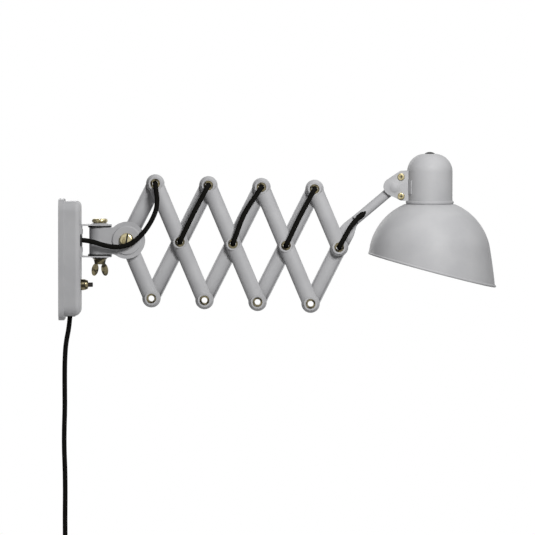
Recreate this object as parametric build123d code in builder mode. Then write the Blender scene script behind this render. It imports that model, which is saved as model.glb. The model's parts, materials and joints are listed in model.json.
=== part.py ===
"""Accordion wall lamp: a wall box with a swinging bracket, a scissor arm of pressed
half-round channels on hollow brass rivets, and a bell shade on a clamped ball.

Millimetres. The origin is the centre of the wall face, +X points away from the wall
and +Z up. The scissor opens in the plane Y = 0. The cord is threaded through the
hollow rivets, in front of the rear arms and behind the front arms.
"""

import math
import os

from build123d import *

# --- clearances -----------------------------------------------------------------
FIT = 0.05  # radial running fit of a pin in its hole
SEAT = 0.05  # between two flat faces that bear on each other
FREE = 0.3  # between curved faces that pass each other

# --- wall box -------------------------------------------------------------------
PLATE_HEIGHT = 199.0
PLATE_WIDTH = 104.0
PLATE_THICKNESS = 3.8
PLATE_CORNER = 20.0
WALL_HOLE_SPACING = 120.0
WALL_HOLE_RADIUS = 2.6
FLANGE_THICKNESS = 5.2
FLANGE_LIP = 3.6
BODY_BOTTOM = -92.0
BOX_DEPTH = 35.6
BOX_WALL = 2.2
BOX_FRONT_ROUND = 8.5
COVER_SCREW_SPACING = 150.0
COVER_SCREW_RADIUS = 2.0
COVER_SCREW_HEAD = 3.8
PILLAR_RADIUS = 4.6
SCREW_SLOT_WIDTH = 1.0
SCREW_SLOT_DEPTH = 1.0
TERMINALS = 3
TERMINAL_LENGTH = 34.0
TERMINAL_WIDTH = 18.0
TERMINAL_HEIGHT = 15.0
TERMINAL_PITCH = 11.0
TERMINAL_HOLE_RADIUS = 3.0
TERMINAL_HOLE_DEPTH = 10.0

# --- hinge on the box -----------------------------------------------------------
HINGE_X = 67.0
EAR_BOTTOM = 3.6
EAR_THICKNESS = 2.0
EAR_RADIUS = 19.5
HINGE_WASHER_THICKNESS = 3.0
BARREL_HEIGHT = 44.0
BARREL_RADIUS = 17.5
HINGE_PIN_RADIUS = 4.0
DISH_HEIGHT = 2.3
DISH_RADIUS = 16.0
DISH_TOP_RADIUS = 10.0
HINGE_HEAD_HEIGHT = 7.6
HINGE_HEAD_RADIUS = 13.0
HINGE_HEAD_BASE_RADIUS = 9.4
HINGE_HEAD_TOP_RADIUS = 8.6
HINGE_SLOT_WIDTH = 2.4
HINGE_SLOT_DEPTH = 2.2
BRACKET_RIVET_RADIUS = 2.4
BRACKET_RIVET_HEAD = 4.2
BRACKET_RIVET_HEIGHT = 0.8
BRACKET_RIVET_Y = 12.0
BRACKET_RIVET_Z = 15.0

# --- wing nut -------------------------------------------------------------------
WING_COLLAR_HEIGHT = 2.0
WING_HUB_RADIUS = 8.6
WING_HUB_HEIGHT = 9.6
WING_REACH = 8.0
WING_DROP = 18.3
WING_HALF_WIDTH = 5.6
WING_HALF_HEIGHT = 10.4
WING_SPLAY = 10.0
WING_THICKNESS = 5.0

# --- switch on the box front ----------------------------------------------------
SWITCH_Z = -42.0
COLLAR_RADIUS = 9.4
COLLAR_TIP_RADIUS = 6.7
COLLAR_LENGTH = 11.8
COLLAR_THREAD_RADIUS = 7.0
COLLAR_THREAD_LENGTH = 5.6
BUTTON_RADIUS = 3.8
BUTTON_LENGTH = 8.0
BUTTON_FLANGE_RADIUS = 5.4
BUTTON_FLANGE_LENGTH = 2.0
SWITCH_TAG_Y = 4.0
SWITCH_TAG_THICKNESS = 1.0
SWITCH_TAG_WIDTH = 6.0
SWITCH_TAG_LENGTH = 4.0
SWITCH_BODY_RADIUS = 9.0
SWITCH_BODY_LENGTH = 20.0

# --- knuckle and main pivot -----------------------------------------------------
PIVOT_X = 111.5
PIVOT_Z = 31.7
DISC_RADIUS = 30.5
DISC_THICKNESS = 7.0
DISC_DOME_RADIUS = 24.0
DISC_DOME_HEIGHT = 2.6
KNUCKLE_FILLET = 7.0
MAIN_PIN_RADIUS = 4.0
MAIN_HEAD_RADIUS = 12.0
MAIN_HEAD_HEIGHT = 5.8
MAIN_SLOT_WIDTH = 2.6
MAIN_SLOT_DEPTH = 2.4
MAIN_SLOT_LEAN = 10.0
MAIN_WASHER_THICKNESS = 1.3
MAIN_WASHER_RADIUS = 10.5
MAIN_NUT_RADIUS = 7.5
MAIN_NUT_HEIGHT = 6.5

# --- scissor arms ---------------------------------------------------------------
LINK = 104.4  # from a middle pivot to an end pivot
OPENING = 65.2  # angle of the arms to the row of pivots, as photographed
DROOP = 1.94  # how far the row of pivots slopes down
DIAMONDS = 4
ARM_GAP = 1.2
ARM_WIDTH = 26.5
ARM_DEPTH = 8.0  # of the half-round channel
PAD_DEPTH = 8.4  # of the flat-topped cups over the pivots
ARM_WALL = 1.5
END_RADIUS = 15.2
PAD_RADIUS = 10.9
MIDDLE_BASE_RADIUS = 13.0

# --- hollow rivets --------------------------------------------------------------
RIVET_RADIUS = 5.6
RIVET_BORE = 4.8
RIVET_FLANGE_RADIUS = 8.0
RIVET_FLANGE_THICKNESS = 1.1
RIVET_SHOULDER_RADIUS = 8.6

# --- lamp arm and tube ----------------------------------------------------------
BALL_X = 553.1
BALL_Z = 118.6
TUBE_ANGLE = 40.0
TUBE_RADIUS = 7.8
TUBE_WALL = 1.4
TUBE_SEAM = 83.8  # from the ball centre back to the seam with the pressed arm
LAMP_ARM_STRAIGHT = 26.0
LAMP_ARM_EDGE = 5.5
NOTCH_START = 82.6
NOTCH_LENGTH = 18.0
NOTCH_WIDTH = 9.6
CORD_ENTRY_REACH = 2.6  # how far past the notch the cord comes to the middle of the tube

# --- ball and clamp -------------------------------------------------------------
BALL_RADIUS = 15.0
SPIGOT_LENGTH = 8.0
BALL_BORE = 4.2
CLAMP_GAP = 25.0
CLAMP_THICKNESS = 1.5
CLAMP_NOSE_RADIUS = 14.0
CLAMP_NOSE = (-4.1, 1.0)
CLAMP_CORNER_RADIUS = 9.5
CLAMP_CORNER_X = 12.9
CLAMP_TOP = 27.3
CLAMP_BOTTOM = -22.0
CLAMP_SCREW_X = 10.4
CLAMP_SCREW_TOP = 17.5
CLAMP_SCREW_BOTTOM = -14.4
CLAMP_SCREW_RADIUS = 2.0
CLAMP_RECESS_WIDTH = 1.3
CLAMP_HEAD_RADIUS = 5.8
CLAMP_HEAD_HEIGHT = 2.6
CLAMP_NUT_RADIUS = 4.4
CLAMP_NUT_HEIGHT = 3.2
TAB_THICKNESS = 1.2
TAB_BOTTOM = -11.0
TAB_TOP = 12.1
TAB_START_ANGLE = 17.0
TAB_END_ANGLE = 36.0

# --- neck and shade -------------------------------------------------------------
NECK_X = 611.1
NECK_RADIUS = 37.5
NECK_TOP = 174.0
NECK_CORNER = 29.7
NECK_WALL = 1.0
BEAD_RADIUS = 39.6
BEAD_TOP = 96.4
BEAD_BOTTOM = 91.2
NECK_CORD_HOLE_Z = 136.2
NECK_CORD_HOLE_RADIUS = 6.2
PLUG_HOLE_RADIUS = 5.0
PLUG_RADIUS = 7.9
PLUG_HEIGHT = 3.0
PLUG_SHANK = 5.0
COLLAR_TOP = 103.0
SHADE_WALL = 1.2
SHADE_SHOULDER = (41.5, 90.8)
SHADE_FLARE = (74.6, 68.0)
SHADE_WAIST = (98.4, 24.0)
SHADE_SKIRT = (102.6, -2.0)
SHADE_HEM = (108.6, -54.0)
MOUTH_LEFT = (509.6, 10.8)
MOUTH_RIGHT = (720.6, -45.0)
RIM_HALF_WIDTH = 106.0
RIM_RADIUS = 2.1

# --- lampholder -----------------------------------------------------------------
GALLERY_THICKNESS = 1.4
GALLERY_HOLES = 6
GALLERY_HOLE_RADIUS = 2.5
HOLDER_RADIUS = 19.5
HOLDER_TOP = 126.0
HOLDER_BOTTOM = 62.0
HOLDER_FLANGE_RADIUS = 24.0
HOLDER_FLANGE_THICKNESS = 4.0
HOLDER_RING_RADIUS = 23.5
HOLDER_RING_HEIGHT = 6.0
SOCKET_RADIUS = 13.3
SOCKET_DEPTH = 36.0

# --- cords ----------------------------------------------------------------------
CORD_RADIUS = 3.5
CORD_TURN = 7.0  # how tightly the cord turns out of a hollow rivet
CORD_OFFSET = 16.0  # how far the threaded cord runs from the plane of the scissor
GROMMET_RADIUS = 9.5
MAINS_GROMMET_RADIUS = 8.8
GROMMET_HEIGHT = 2.6
GROMMET_NECK = 7.0
ARM_CORD_Y = -29.5
ARM_CORD_Z = 32.6
MAINS_CORD_X = 18.0

COIL_LEFT = 9.0
COIL_HEIGHT = -518.0
COIL_INNER_RADIUS = 25.0
COIL_PITCH = 8.8
COIL_HALF_TURNS_IN = 6
COIL_LAYER_OFFSET = 4.2
COIL_TOP_RUN = 16.0
TAIL_LENGTH = 40.0
TIE_WIDTH = 10.0
TIE_THICKNESS = 1.4
TIE_SLACK = 1.4
PLUG_WIDTH = 35.0
PLUG_SHOULDER = 0.6  # the narrow end of the body, as a share of its width
PLUG_DEPTH = 13.7
PLUG_BODY_LENGTH = 20.0
PLUG_SLEEVE_LENGTH = 18.0
PLUG_SLEEVE_RADIUS = 5.0
PLUG_PIN_RADIUS = 2.0
PLUG_PIN_LENGTH = 19.0
PLUG_PIN_SPACING = 18.6

# --- derived places -------------------------------------------------------------
EAR_TOP = EAR_BOTTOM + EAR_THICKNESS
BARREL_BOTTOM = EAR_TOP + HINGE_WASHER_THICKNESS
BARREL_TOP = BARREL_BOTTOM + BARREL_HEIGHT
UPPER_EAR = BARREL_TOP + HINGE_WASHER_THICKNESS
BRACKET_TOP = UPPER_EAR + EAR_THICKNESS
BRACKET_MIDDLE = (EAR_BOTTOM + BRACKET_TOP) / 2
BRACKET_FRONT = BOX_DEPTH + EAR_THICKNESS
BODY_TOP = PLATE_HEIGHT / 2 - FLANGE_LIP
BODY_HEIGHT = BODY_TOP - BODY_BOTTOM
BODY_MIDDLE = BODY_TOP - BODY_HEIGHT / 2
PITCH = 2 * LINK * math.cos(math.radians(OPENING))
RISE = LINK * math.sin(math.radians(OPENING))
SEAT_OUTER = ARM_GAP / 2 + PAD_DEPTH
SEAT_INNER = SEAT_OUTER - ARM_WALL
KNUCKLE_BACK = SEAT_OUTER + MAIN_WASHER_THICKNESS + 2 * SEAT
KNUCKLE_FACE = KNUCKLE_BACK + DISC_THICKNESS
HEAD_SEAT = KNUCKLE_FACE + DISC_DOME_HEIGHT
CLAMP_INNER = CLAMP_GAP / 2
CLAMP_OUTER = CLAMP_INNER + CLAMP_THICKNESS
BALL_FLAT = math.sqrt(BALL_RADIUS**2 - TUBE_RADIUS**2)
TUBE_END = BALL_FLAT + 2 * SEAT
CORD_END_IN_BALL = BALL_RADIUS + 1.6
NECK_CORD_REACH = 51.6
NECK_CORD_DROP = 8.6

ROW = Plane(
    origin=(PIVOT_X, 0, PIVOT_Z),
    x_dir=(math.cos(math.radians(DROOP)), 0, -math.sin(math.radians(DROOP))),
    z_dir=(0, -1, 0),
)
TUBE_DIRECTION = Vector(
    math.cos(math.radians(TUBE_ANGLE)), 0, math.sin(math.radians(TUBE_ANGLE))
)
BALL_CENTRE = Vector(BALL_X, 0, BALL_Z)
NECK_AXIS = Axis((NECK_X, 0, 0), (0, 0, 1))
NECK_PLANE = Plane(origin=(NECK_X, 0, 0), x_dir=(1, 0, 0), z_dir=(0, -1, 0))
HINGE_PLANE = Plane(origin=(HINGE_X, 0, 0), x_dir=(1, 0, 0), z_dir=(0, -1, 0))
HINGE_AXIS = Axis((HINGE_X, 0, 0), (0, 0, 1))

finished = []


def keep(part, label):
    """Name a finished piece and remember it for export."""
    part.label = label
    finished.append(part)


def front_at(y, z, x=BOX_DEPTH):
    """A plane on the box front, looking away from the wall."""
    return Plane(origin=(x, y, z), x_dir=(0, 1, 0), z_dir=(1, 0, 0))


def level(z, x=HINGE_X):
    """A horizontal plane at height z, centred on the hinge unless told otherwise."""
    return Plane(origin=(x, 0, z), x_dir=(1, 0, 0), z_dir=(0, 0, 1))


def facing(x, z, distance):
    """A plane that faces the viewer, at a distance in front of the scissor's plane."""
    return Plane(origin=(x, -distance, z), x_dir=(1, 0, 0), z_dir=(0, -1, 0))


# --- the tube that every cord is made of ------------------------------------------
def bend_radii(points, tight=None):
    """One radius for each corner, as large as its two runs allow."""
    radii = []
    for before, corner, after in zip(points, points[1:], points[2:]):
        first = Vector(*corner) - Vector(*before)
        second = Vector(*after) - Vector(*corner)
        half_turn = math.radians(first.get_angle(second)) / 2
        radius = 0.45 * min(first.length, second.length) / math.tan(half_turn)
        radii.append(min(radius, tight) if tight and half_turn > math.pi / 5 else radius)
    return radii


def cord(name, points, tight=None):
    """A cord along hand-chosen points: straight runs joined by tangent arcs."""
    radii = bend_radii(points, tight)
    with BuildPart() as tube:
        with BuildLine() as line:
            FilletPolyline(*points, radius=radii)
        path = line.wire()
        with BuildSketch(Plane(origin=path @ 0, z_dir=path % 0)):
            Circle(CORD_RADIUS)
        sweep()
    ideal = math.pi * CORD_RADIUS**2 * path.length
    print(
        f"{name}: {path.length:.1f} mm, volume/ideal {tube.part.volume / ideal:.4f},"
        f" radii {[round(radius, 1) for radius in radii]}"
    )
    keep(tube.part, name)


# --- wall box -----------------------------------------------------------------------
with BuildPart() as back_plate:
    with BuildSketch(Plane.YZ):
        RectangleRounded(PLATE_WIDTH, PLATE_HEIGHT, PLATE_CORNER)
    extrude(amount=PLATE_THICKNESS)
    with BuildSketch(Plane.YZ.offset(PLATE_THICKNESS)):
        with Locations((0, COVER_SCREW_SPACING / 2), (0, -COVER_SCREW_SPACING / 2)):
            Circle(PILLAR_RADIUS)
    extrude(amount=BOX_DEPTH - BOX_WALL - PLATE_THICKNESS)
    with Locations(
        front_at(0, WALL_HOLE_SPACING / 2, PLATE_THICKNESS).location,
        front_at(0, -WALL_HOLE_SPACING / 2, PLATE_THICKNESS).location,
    ):
        CounterSinkHole(WALL_HOLE_RADIUS, 2 * WALL_HOLE_RADIUS - 0.4, PLATE_THICKNESS)
    with Locations(
        front_at(0, COVER_SCREW_SPACING / 2).location,
        front_at(0, -COVER_SCREW_SPACING / 2).location,
    ):
        Hole(COVER_SCREW_RADIUS, BOX_DEPTH - PLATE_THICKNESS)
keep(back_plate.part, "back_plate")

with BuildPart() as wall_cover:
    with BuildSketch(Plane.YZ.offset(PLATE_THICKNESS)):
        with Locations((0, BODY_MIDDLE)):
            RectangleRounded(PLATE_WIDTH - 2 * FLANGE_LIP, BODY_HEIGHT, PLATE_CORNER - FLANGE_LIP)
    extrude(amount=BOX_DEPTH - PLATE_THICKNESS)
    fillet(wall_cover.faces().sort_by(Axis.X)[-1].edges(), BOX_FRONT_ROUND)
    offset(amount=-BOX_WALL, openings=wall_cover.faces().sort_by(Axis.X)[0])
    with BuildSketch(Plane.YZ.offset(PLATE_THICKNESS)):
        RectangleRounded(PLATE_WIDTH, PLATE_HEIGHT, PLATE_CORNER)
        with Locations((0, BODY_MIDDLE)):
            RectangleRounded(
                PLATE_WIDTH - 2 * FLANGE_LIP - 2 * BOX_WALL,
                BODY_HEIGHT - 2 * BOX_WALL,
                PLATE_CORNER - FLANGE_LIP - BOX_WALL,
                mode=Mode.SUBTRACT,
            )
    extrude(amount=FLANGE_THICKNESS)
    with Locations(
        front_at(0, COVER_SCREW_SPACING / 2).location,
        front_at(0, -COVER_SCREW_SPACING / 2).location,
    ):
        CounterSinkHole(COVER_SCREW_RADIUS + FIT, COVER_SCREW_HEAD, BOX_FRONT_ROUND)
    with Locations(
        front_at(BRACKET_RIVET_Y, BRACKET_MIDDLE + BRACKET_RIVET_Z).location,
        front_at(BRACKET_RIVET_Y, BRACKET_MIDDLE - BRACKET_RIVET_Z).location,
        front_at(-BRACKET_RIVET_Y, BRACKET_MIDDLE + BRACKET_RIVET_Z).location,
        front_at(-BRACKET_RIVET_Y, BRACKET_MIDDLE - BRACKET_RIVET_Z).location,
    ):
        Hole(BRACKET_RIVET_RADIUS + FIT, BOX_FRONT_ROUND)
    with Locations(front_at(0, SWITCH_Z).location):
        Hole(COLLAR_THREAD_RADIUS + FIT, BOX_FRONT_ROUND)
    with Locations(front_at(ARM_CORD_Y, ARM_CORD_Z).location):
        Hole(GROMMET_NECK + FIT, BOX_FRONT_ROUND)
    with Locations(level(BODY_BOTTOM, MAINS_CORD_X).location):
        Hole(GROMMET_NECK + FIT, 3 * BOX_WALL)
keep(wall_cover.part, "wall_cover")

with BuildPart() as cover_screws:
    for side in (1, -1):
        head = front_at(0, side * COVER_SCREW_SPACING / 2)
        with BuildSketch(head):
            Circle(COVER_SCREW_HEAD - FIT)
        extrude(amount=-(COVER_SCREW_HEAD - COVER_SCREW_RADIUS), taper=45)
        with BuildSketch(head):
            Circle(COVER_SCREW_RADIUS - FIT)
        extrude(amount=-(BOX_DEPTH - PLATE_THICKNESS - 4))
        with BuildSketch(head):
            Rectangle(2 * COVER_SCREW_HEAD, SCREW_SLOT_WIDTH)
        extrude(amount=-SCREW_SLOT_DEPTH, mode=Mode.SUBTRACT)
keep(cover_screws.part, "cover_screws")


def grommet(plane, radius):
    """A black bush with a collar outside, a neck in the wall and a collar inside."""
    outward = Axis(plane.origin, plane.z_dir)
    with BuildPart() as bush:
        with BuildSketch(plane):
            Circle(radius)
        extrude(amount=GROMMET_HEIGHT)
        fillet(bush.faces().sort_by(outward)[-1].edges(), GROMMET_HEIGHT / 2)
        with BuildSketch(plane):
            Circle(GROMMET_NECK)
        extrude(amount=-BOX_WALL)
        with BuildSketch(plane.offset(-BOX_WALL)):
            Circle(radius)
        extrude(amount=-GROMMET_HEIGHT)
        with Locations(plane.location):
            Hole(CORD_RADIUS + SEAT)
    return bush.part


BOX_UNDERSIDE = Plane(origin=(MAINS_CORD_X, 0, BODY_BOTTOM), z_dir=(0, 0, -1))
keep(grommet(front_at(ARM_CORD_Y, ARM_CORD_Z), GROMMET_RADIUS), "arm_cord_grommet")
keep(grommet(BOX_UNDERSIDE, MAINS_GROMMET_RADIUS), "mains_cord_grommet")

with BuildPart() as terminal_block:
    with BuildSketch(front_at(0, BRACKET_MIDDLE, PLATE_THICKNESS)):
        Rectangle(TERMINAL_LENGTH, TERMINAL_WIDTH)
    extrude(amount=TERMINAL_HEIGHT)
    with BuildSketch(front_at(0, BRACKET_MIDDLE, PLATE_THICKNESS + TERMINAL_HEIGHT)):
        with GridLocations(TERMINAL_PITCH, 0, TERMINALS, 1):
            Circle(TERMINAL_HOLE_RADIUS)
    extrude(amount=-TERMINAL_HOLE_DEPTH, mode=Mode.SUBTRACT)
keep(terminal_block.part, "terminal_block")

# --- switch -------------------------------------------------------------------------
COLLAR_FRONT = BOX_DEPTH + COLLAR_LENGTH
COLLAR_LEDGE = COLLAR_FRONT - 4.0
with BuildPart() as switch_collar:
    with BuildSketch(Plane(origin=(0, 0, SWITCH_Z), x_dir=(1, 0, 0), z_dir=(0, -1, 0))):
        with BuildLine():
            Polyline(
                (COLLAR_LEDGE, BUTTON_RADIUS + FREE),
                (COLLAR_LEDGE, BUTTON_FLANGE_RADIUS + FREE),
                (BOX_DEPTH - COLLAR_THREAD_LENGTH, BUTTON_FLANGE_RADIUS + FREE),
                (BOX_DEPTH - COLLAR_THREAD_LENGTH, COLLAR_THREAD_RADIUS),
                (BOX_DEPTH, COLLAR_THREAD_RADIUS),
                (BOX_DEPTH, COLLAR_RADIUS),
            )
            ThreePointArc(
                (BOX_DEPTH, COLLAR_RADIUS),
                (BOX_DEPTH + COLLAR_LENGTH * 0.55, COLLAR_RADIUS - 0.6),
                (COLLAR_FRONT, COLLAR_TIP_RADIUS),
            )
            Polyline(
                (COLLAR_FRONT, COLLAR_TIP_RADIUS),
                (COLLAR_FRONT, BUTTON_RADIUS + FREE),
                (COLLAR_LEDGE, BUTTON_RADIUS + FREE),
            )
        make_face()
    revolve(axis=Axis((0, 0, SWITCH_Z), (1, 0, 0)))
keep(switch_collar.part, "switch_collar")

with BuildPart() as switch_button:
    with BuildSketch(front_at(0, SWITCH_Z, COLLAR_LEDGE - SEAT - BUTTON_FLANGE_LENGTH)):
        Circle(BUTTON_FLANGE_RADIUS)
    extrude(amount=BUTTON_FLANGE_LENGTH)
    with BuildSketch(front_at(0, SWITCH_Z, COLLAR_LEDGE - SEAT)):
        Circle(BUTTON_RADIUS)
    extrude(amount=COLLAR_FRONT - COLLAR_LEDGE + SEAT + BUTTON_LENGTH)
    fillet(switch_button.faces().sort_by(Axis.X)[-1].edges(), 1.2)
keep(switch_button.part, "switch_button")

with BuildPart() as switch_body:
    with BuildSketch(front_at(0, SWITCH_Z, BOX_DEPTH - COLLAR_THREAD_LENGTH)):
        Circle(SWITCH_BODY_RADIUS)
    extrude(amount=-SWITCH_BODY_LENGTH)
    with BuildSketch(front_at(0, SWITCH_Z, BOX_DEPTH - COLLAR_THREAD_LENGTH - SWITCH_BODY_LENGTH)):
        with Locations((-SWITCH_TAG_Y, 0), (SWITCH_TAG_Y, 0)):
            Rectangle(SWITCH_TAG_THICKNESS, SWITCH_TAG_WIDTH)
    extrude(amount=-SWITCH_TAG_LENGTH)
keep(switch_body.part, "switch_body")

# --- hinge --------------------------------------------------------------------------
with BuildPart() as hinge_bracket:
    for bottom in (EAR_BOTTOM, UPPER_EAR):
        with BuildSketch(level(bottom, 0)):
            with Locations(((HINGE_X + BOX_DEPTH) / 2, 0)):
                Rectangle(HINGE_X - BOX_DEPTH, 2 * EAR_RADIUS)
            with Locations((HINGE_X, 0)):
                Circle(EAR_RADIUS)
                Circle(HINGE_PIN_RADIUS + FIT, mode=Mode.SUBTRACT)
        extrude(amount=EAR_THICKNESS)
    with BuildSketch(front_at(0, BRACKET_MIDDLE)):
        Rectangle(2 * EAR_RADIUS, BRACKET_TOP - EAR_BOTTOM)
    extrude(amount=EAR_THICKNESS)
    fillet(hinge_bracket.edges().filter_by(Axis.Y).group_by(Axis.X)[0], EAR_THICKNESS)
    with Locations(
        front_at(BRACKET_RIVET_Y, BRACKET_MIDDLE + BRACKET_RIVET_Z, BRACKET_FRONT).location,
        front_at(BRACKET_RIVET_Y, BRACKET_MIDDLE - BRACKET_RIVET_Z, BRACKET_FRONT).location,
        front_at(-BRACKET_RIVET_Y, BRACKET_MIDDLE + BRACKET_RIVET_Z, BRACKET_FRONT).location,
        front_at(-BRACKET_RIVET_Y, BRACKET_MIDDLE - BRACKET_RIVET_Z, BRACKET_FRONT).location,
    ):
        Hole(BRACKET_RIVET_RADIUS + FIT, 2 * EAR_THICKNESS)
keep(hinge_bracket.part, "hinge_bracket")

with BuildPart() as bracket_rivets:
    for y in (-BRACKET_RIVET_Y, BRACKET_RIVET_Y):
        for z in (BRACKET_MIDDLE - BRACKET_RIVET_Z, BRACKET_MIDDLE + BRACKET_RIVET_Z):
            with BuildSketch(front_at(y, z, BOX_DEPTH - BOX_WALL)):
                Circle(BRACKET_RIVET_RADIUS)
            extrude(amount=BOX_WALL + EAR_THICKNESS)
            with BuildSketch(front_at(y, z, BRACKET_FRONT)):
                Circle(BRACKET_RIVET_HEAD)
            extrude(amount=BRACKET_RIVET_HEIGHT, taper=40)
            with BuildSketch(front_at(y, z, BOX_DEPTH - BOX_WALL)):
                Circle(BRACKET_RIVET_HEAD)
            extrude(amount=-BRACKET_RIVET_HEIGHT)
keep(bracket_rivets.part, "bracket_rivets")

with BuildPart() as hinge_washers:
    for bottom in (EAR_TOP, BARREL_TOP):
        with BuildSketch(level(bottom + SEAT)):
            Circle(EAR_RADIUS)
            Circle(HINGE_PIN_RADIUS + FIT, mode=Mode.SUBTRACT)
        extrude(amount=HINGE_WASHER_THICKNESS - 2 * SEAT)
keep(hinge_washers.part, "hinge_washers")

with BuildPart() as hinge_dishes:
    for base, way in ((BRACKET_TOP, 1), (EAR_BOTTOM, -1)):
        with BuildSketch(HINGE_PLANE):
            with BuildLine():
                Polyline(
                    (HINGE_PIN_RADIUS + FIT, base),
                    (DISH_RADIUS, base),
                    (DISH_TOP_RADIUS, base + way * DISH_HEIGHT),
                    (HINGE_PIN_RADIUS + FIT, base + way * DISH_HEIGHT),
                    close=True,
                )
            make_face()
        revolve(axis=HINGE_AXIS)
keep(hinge_dishes.part, "hinge_dishes")

HINGE_HEAD_BOTTOM = BRACKET_TOP + DISH_HEIGHT
NUT_TOP = EAR_BOTTOM - DISH_HEIGHT
with BuildPart() as hinge_bolt:
    with BuildSketch(HINGE_PLANE):
        with BuildLine():
            Polyline(
                (0, HINGE_HEAD_BOTTOM + HINGE_HEAD_HEIGHT),
                (0, NUT_TOP - WING_HUB_HEIGHT + 1),
                (HINGE_PIN_RADIUS, NUT_TOP - WING_HUB_HEIGHT + 1),
                (HINGE_PIN_RADIUS, HINGE_HEAD_BOTTOM),
                (HINGE_HEAD_BASE_RADIUS, HINGE_HEAD_BOTTOM),
            )
            ThreePointArc(
                (HINGE_HEAD_BASE_RADIUS, HINGE_HEAD_BOTTOM),
                (HINGE_HEAD_RADIUS, HINGE_HEAD_BOTTOM + HINGE_HEAD_HEIGHT * 0.46),
                (HINGE_HEAD_TOP_RADIUS, HINGE_HEAD_BOTTOM + HINGE_HEAD_HEIGHT * 0.94),
            )
            Line(
                (HINGE_HEAD_TOP_RADIUS, HINGE_HEAD_BOTTOM + HINGE_HEAD_HEIGHT * 0.94),
                (0, HINGE_HEAD_BOTTOM + HINGE_HEAD_HEIGHT),
            )
        make_face()
    revolve(axis=HINGE_AXIS)
    with BuildSketch(level(HINGE_HEAD_BOTTOM + HINGE_HEAD_HEIGHT)):
        Rectangle(HINGE_SLOT_WIDTH, 3 * HINGE_HEAD_RADIUS)
    extrude(amount=-HINGE_SLOT_DEPTH, mode=Mode.SUBTRACT)
keep(hinge_bolt.part, "hinge_bolt")

with BuildPart() as wing_nut:
    with BuildSketch(HINGE_PLANE):
        with BuildLine():
            Polyline(
                (HINGE_PIN_RADIUS + FIT, NUT_TOP),
                (HINGE_HEAD_RADIUS, NUT_TOP),
                (WING_HUB_RADIUS + 1.4, NUT_TOP - WING_COLLAR_HEIGHT),
                (WING_HUB_RADIUS, NUT_TOP - WING_HUB_HEIGHT),
                (HINGE_PIN_RADIUS + FIT, NUT_TOP - WING_HUB_HEIGHT),
                close=True,
            )
        make_face()
    revolve(axis=HINGE_AXIS)
    with BuildSketch(facing(HINGE_X, NUT_TOP - WING_DROP, 0)):
        for side in (1, -1):
            with Locations((side * WING_REACH, 0)):
                Ellipse(WING_HALF_WIDTH, WING_HALF_HEIGHT, rotation=side * WING_SPLAY)
    extrude(amount=WING_THICKNESS / 2, both=True)
    with BuildSketch(level(NUT_TOP)):
        Circle(HINGE_PIN_RADIUS + FIT)
    extrude(amount=-WING_HUB_HEIGHT, mode=Mode.SUBTRACT)
keep(wing_nut.part, "wing_nut")

# --- knuckle and main pivot -----------------------------------------------------------
with BuildPart() as knuckle:
    with BuildSketch(facing(0, 0, KNUCKLE_BACK)):
        with Locations(((HINGE_X + PIVOT_X) / 2, (BARREL_BOTTOM + BARREL_TOP) / 2)):
            Rectangle(PIVOT_X - HINGE_X, BARREL_HEIGHT)
        with Locations((PIVOT_X, PIVOT_Z)):
            Circle(DISC_RADIUS)
    extrude(amount=DISC_THICKNESS)
    flare = knuckle.edges().filter_by(Axis.Y).filter_by(
        lambda edge: HINGE_X + 1 < edge.center().X < PIVOT_X
    )
    fillet(flare, KNUCKLE_FILLET)
    with BuildSketch(level(BARREL_BOTTOM)):
        Circle(BARREL_RADIUS)
    extrude(amount=BARREL_HEIGHT)
    with BuildSketch(facing(PIVOT_X, PIVOT_Z, KNUCKLE_FACE)):
        Circle(DISC_DOME_RADIUS)
    extrude(amount=DISC_DOME_HEIGHT)
    fillet(
        knuckle.faces().filter_by(GeomType.PLANE).sort_by(Axis.Y)[0].edges(),
        DISC_DOME_HEIGHT - 0.2,
    )
    with Locations(level(BARREL_TOP).location):
        Hole(HINGE_PIN_RADIUS + FIT, BARREL_HEIGHT)
    with Locations(facing(PIVOT_X, PIVOT_Z, HEAD_SEAT).location):
        Hole(MAIN_PIN_RADIUS + FIT, DISC_THICKNESS + DISC_DOME_HEIGHT)
keep(knuckle.part, "knuckle")

MAIN_PIN_BACK = SEAT_OUTER + MAIN_WASHER_THICKNESS + 2 * SEAT + MAIN_NUT_HEIGHT
with BuildPart() as main_screw:
    with BuildSketch(facing(PIVOT_X, PIVOT_Z, HEAD_SEAT)):
        Circle(MAIN_HEAD_RADIUS)
    extrude(amount=MAIN_HEAD_HEIGHT)
    fillet(main_screw.faces().sort_by(Axis.Y)[0].edges(), MAIN_HEAD_HEIGHT - 1.2)
    with BuildSketch(facing(PIVOT_X, PIVOT_Z, HEAD_SEAT)):
        Circle(MAIN_PIN_RADIUS)
    extrude(amount=-(HEAD_SEAT + MAIN_PIN_BACK))
    with BuildSketch(facing(PIVOT_X, PIVOT_Z, HEAD_SEAT + MAIN_HEAD_HEIGHT)):
        Rectangle(MAIN_SLOT_WIDTH, 3 * MAIN_HEAD_RADIUS, rotation=-MAIN_SLOT_LEAN)
    extrude(amount=-MAIN_SLOT_DEPTH, mode=Mode.SUBTRACT)
keep(main_screw.part, "main_screw")

with BuildPart() as main_nut:
    with BuildSketch(facing(PIVOT_X, PIVOT_Z, -MAIN_PIN_BACK)):
        RegularPolygon(MAIN_NUT_RADIUS, 6)
        Circle(MAIN_PIN_RADIUS + FIT, mode=Mode.SUBTRACT)
    extrude(amount=MAIN_NUT_HEIGHT)
keep(main_nut.part, "main_nut")

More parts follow.
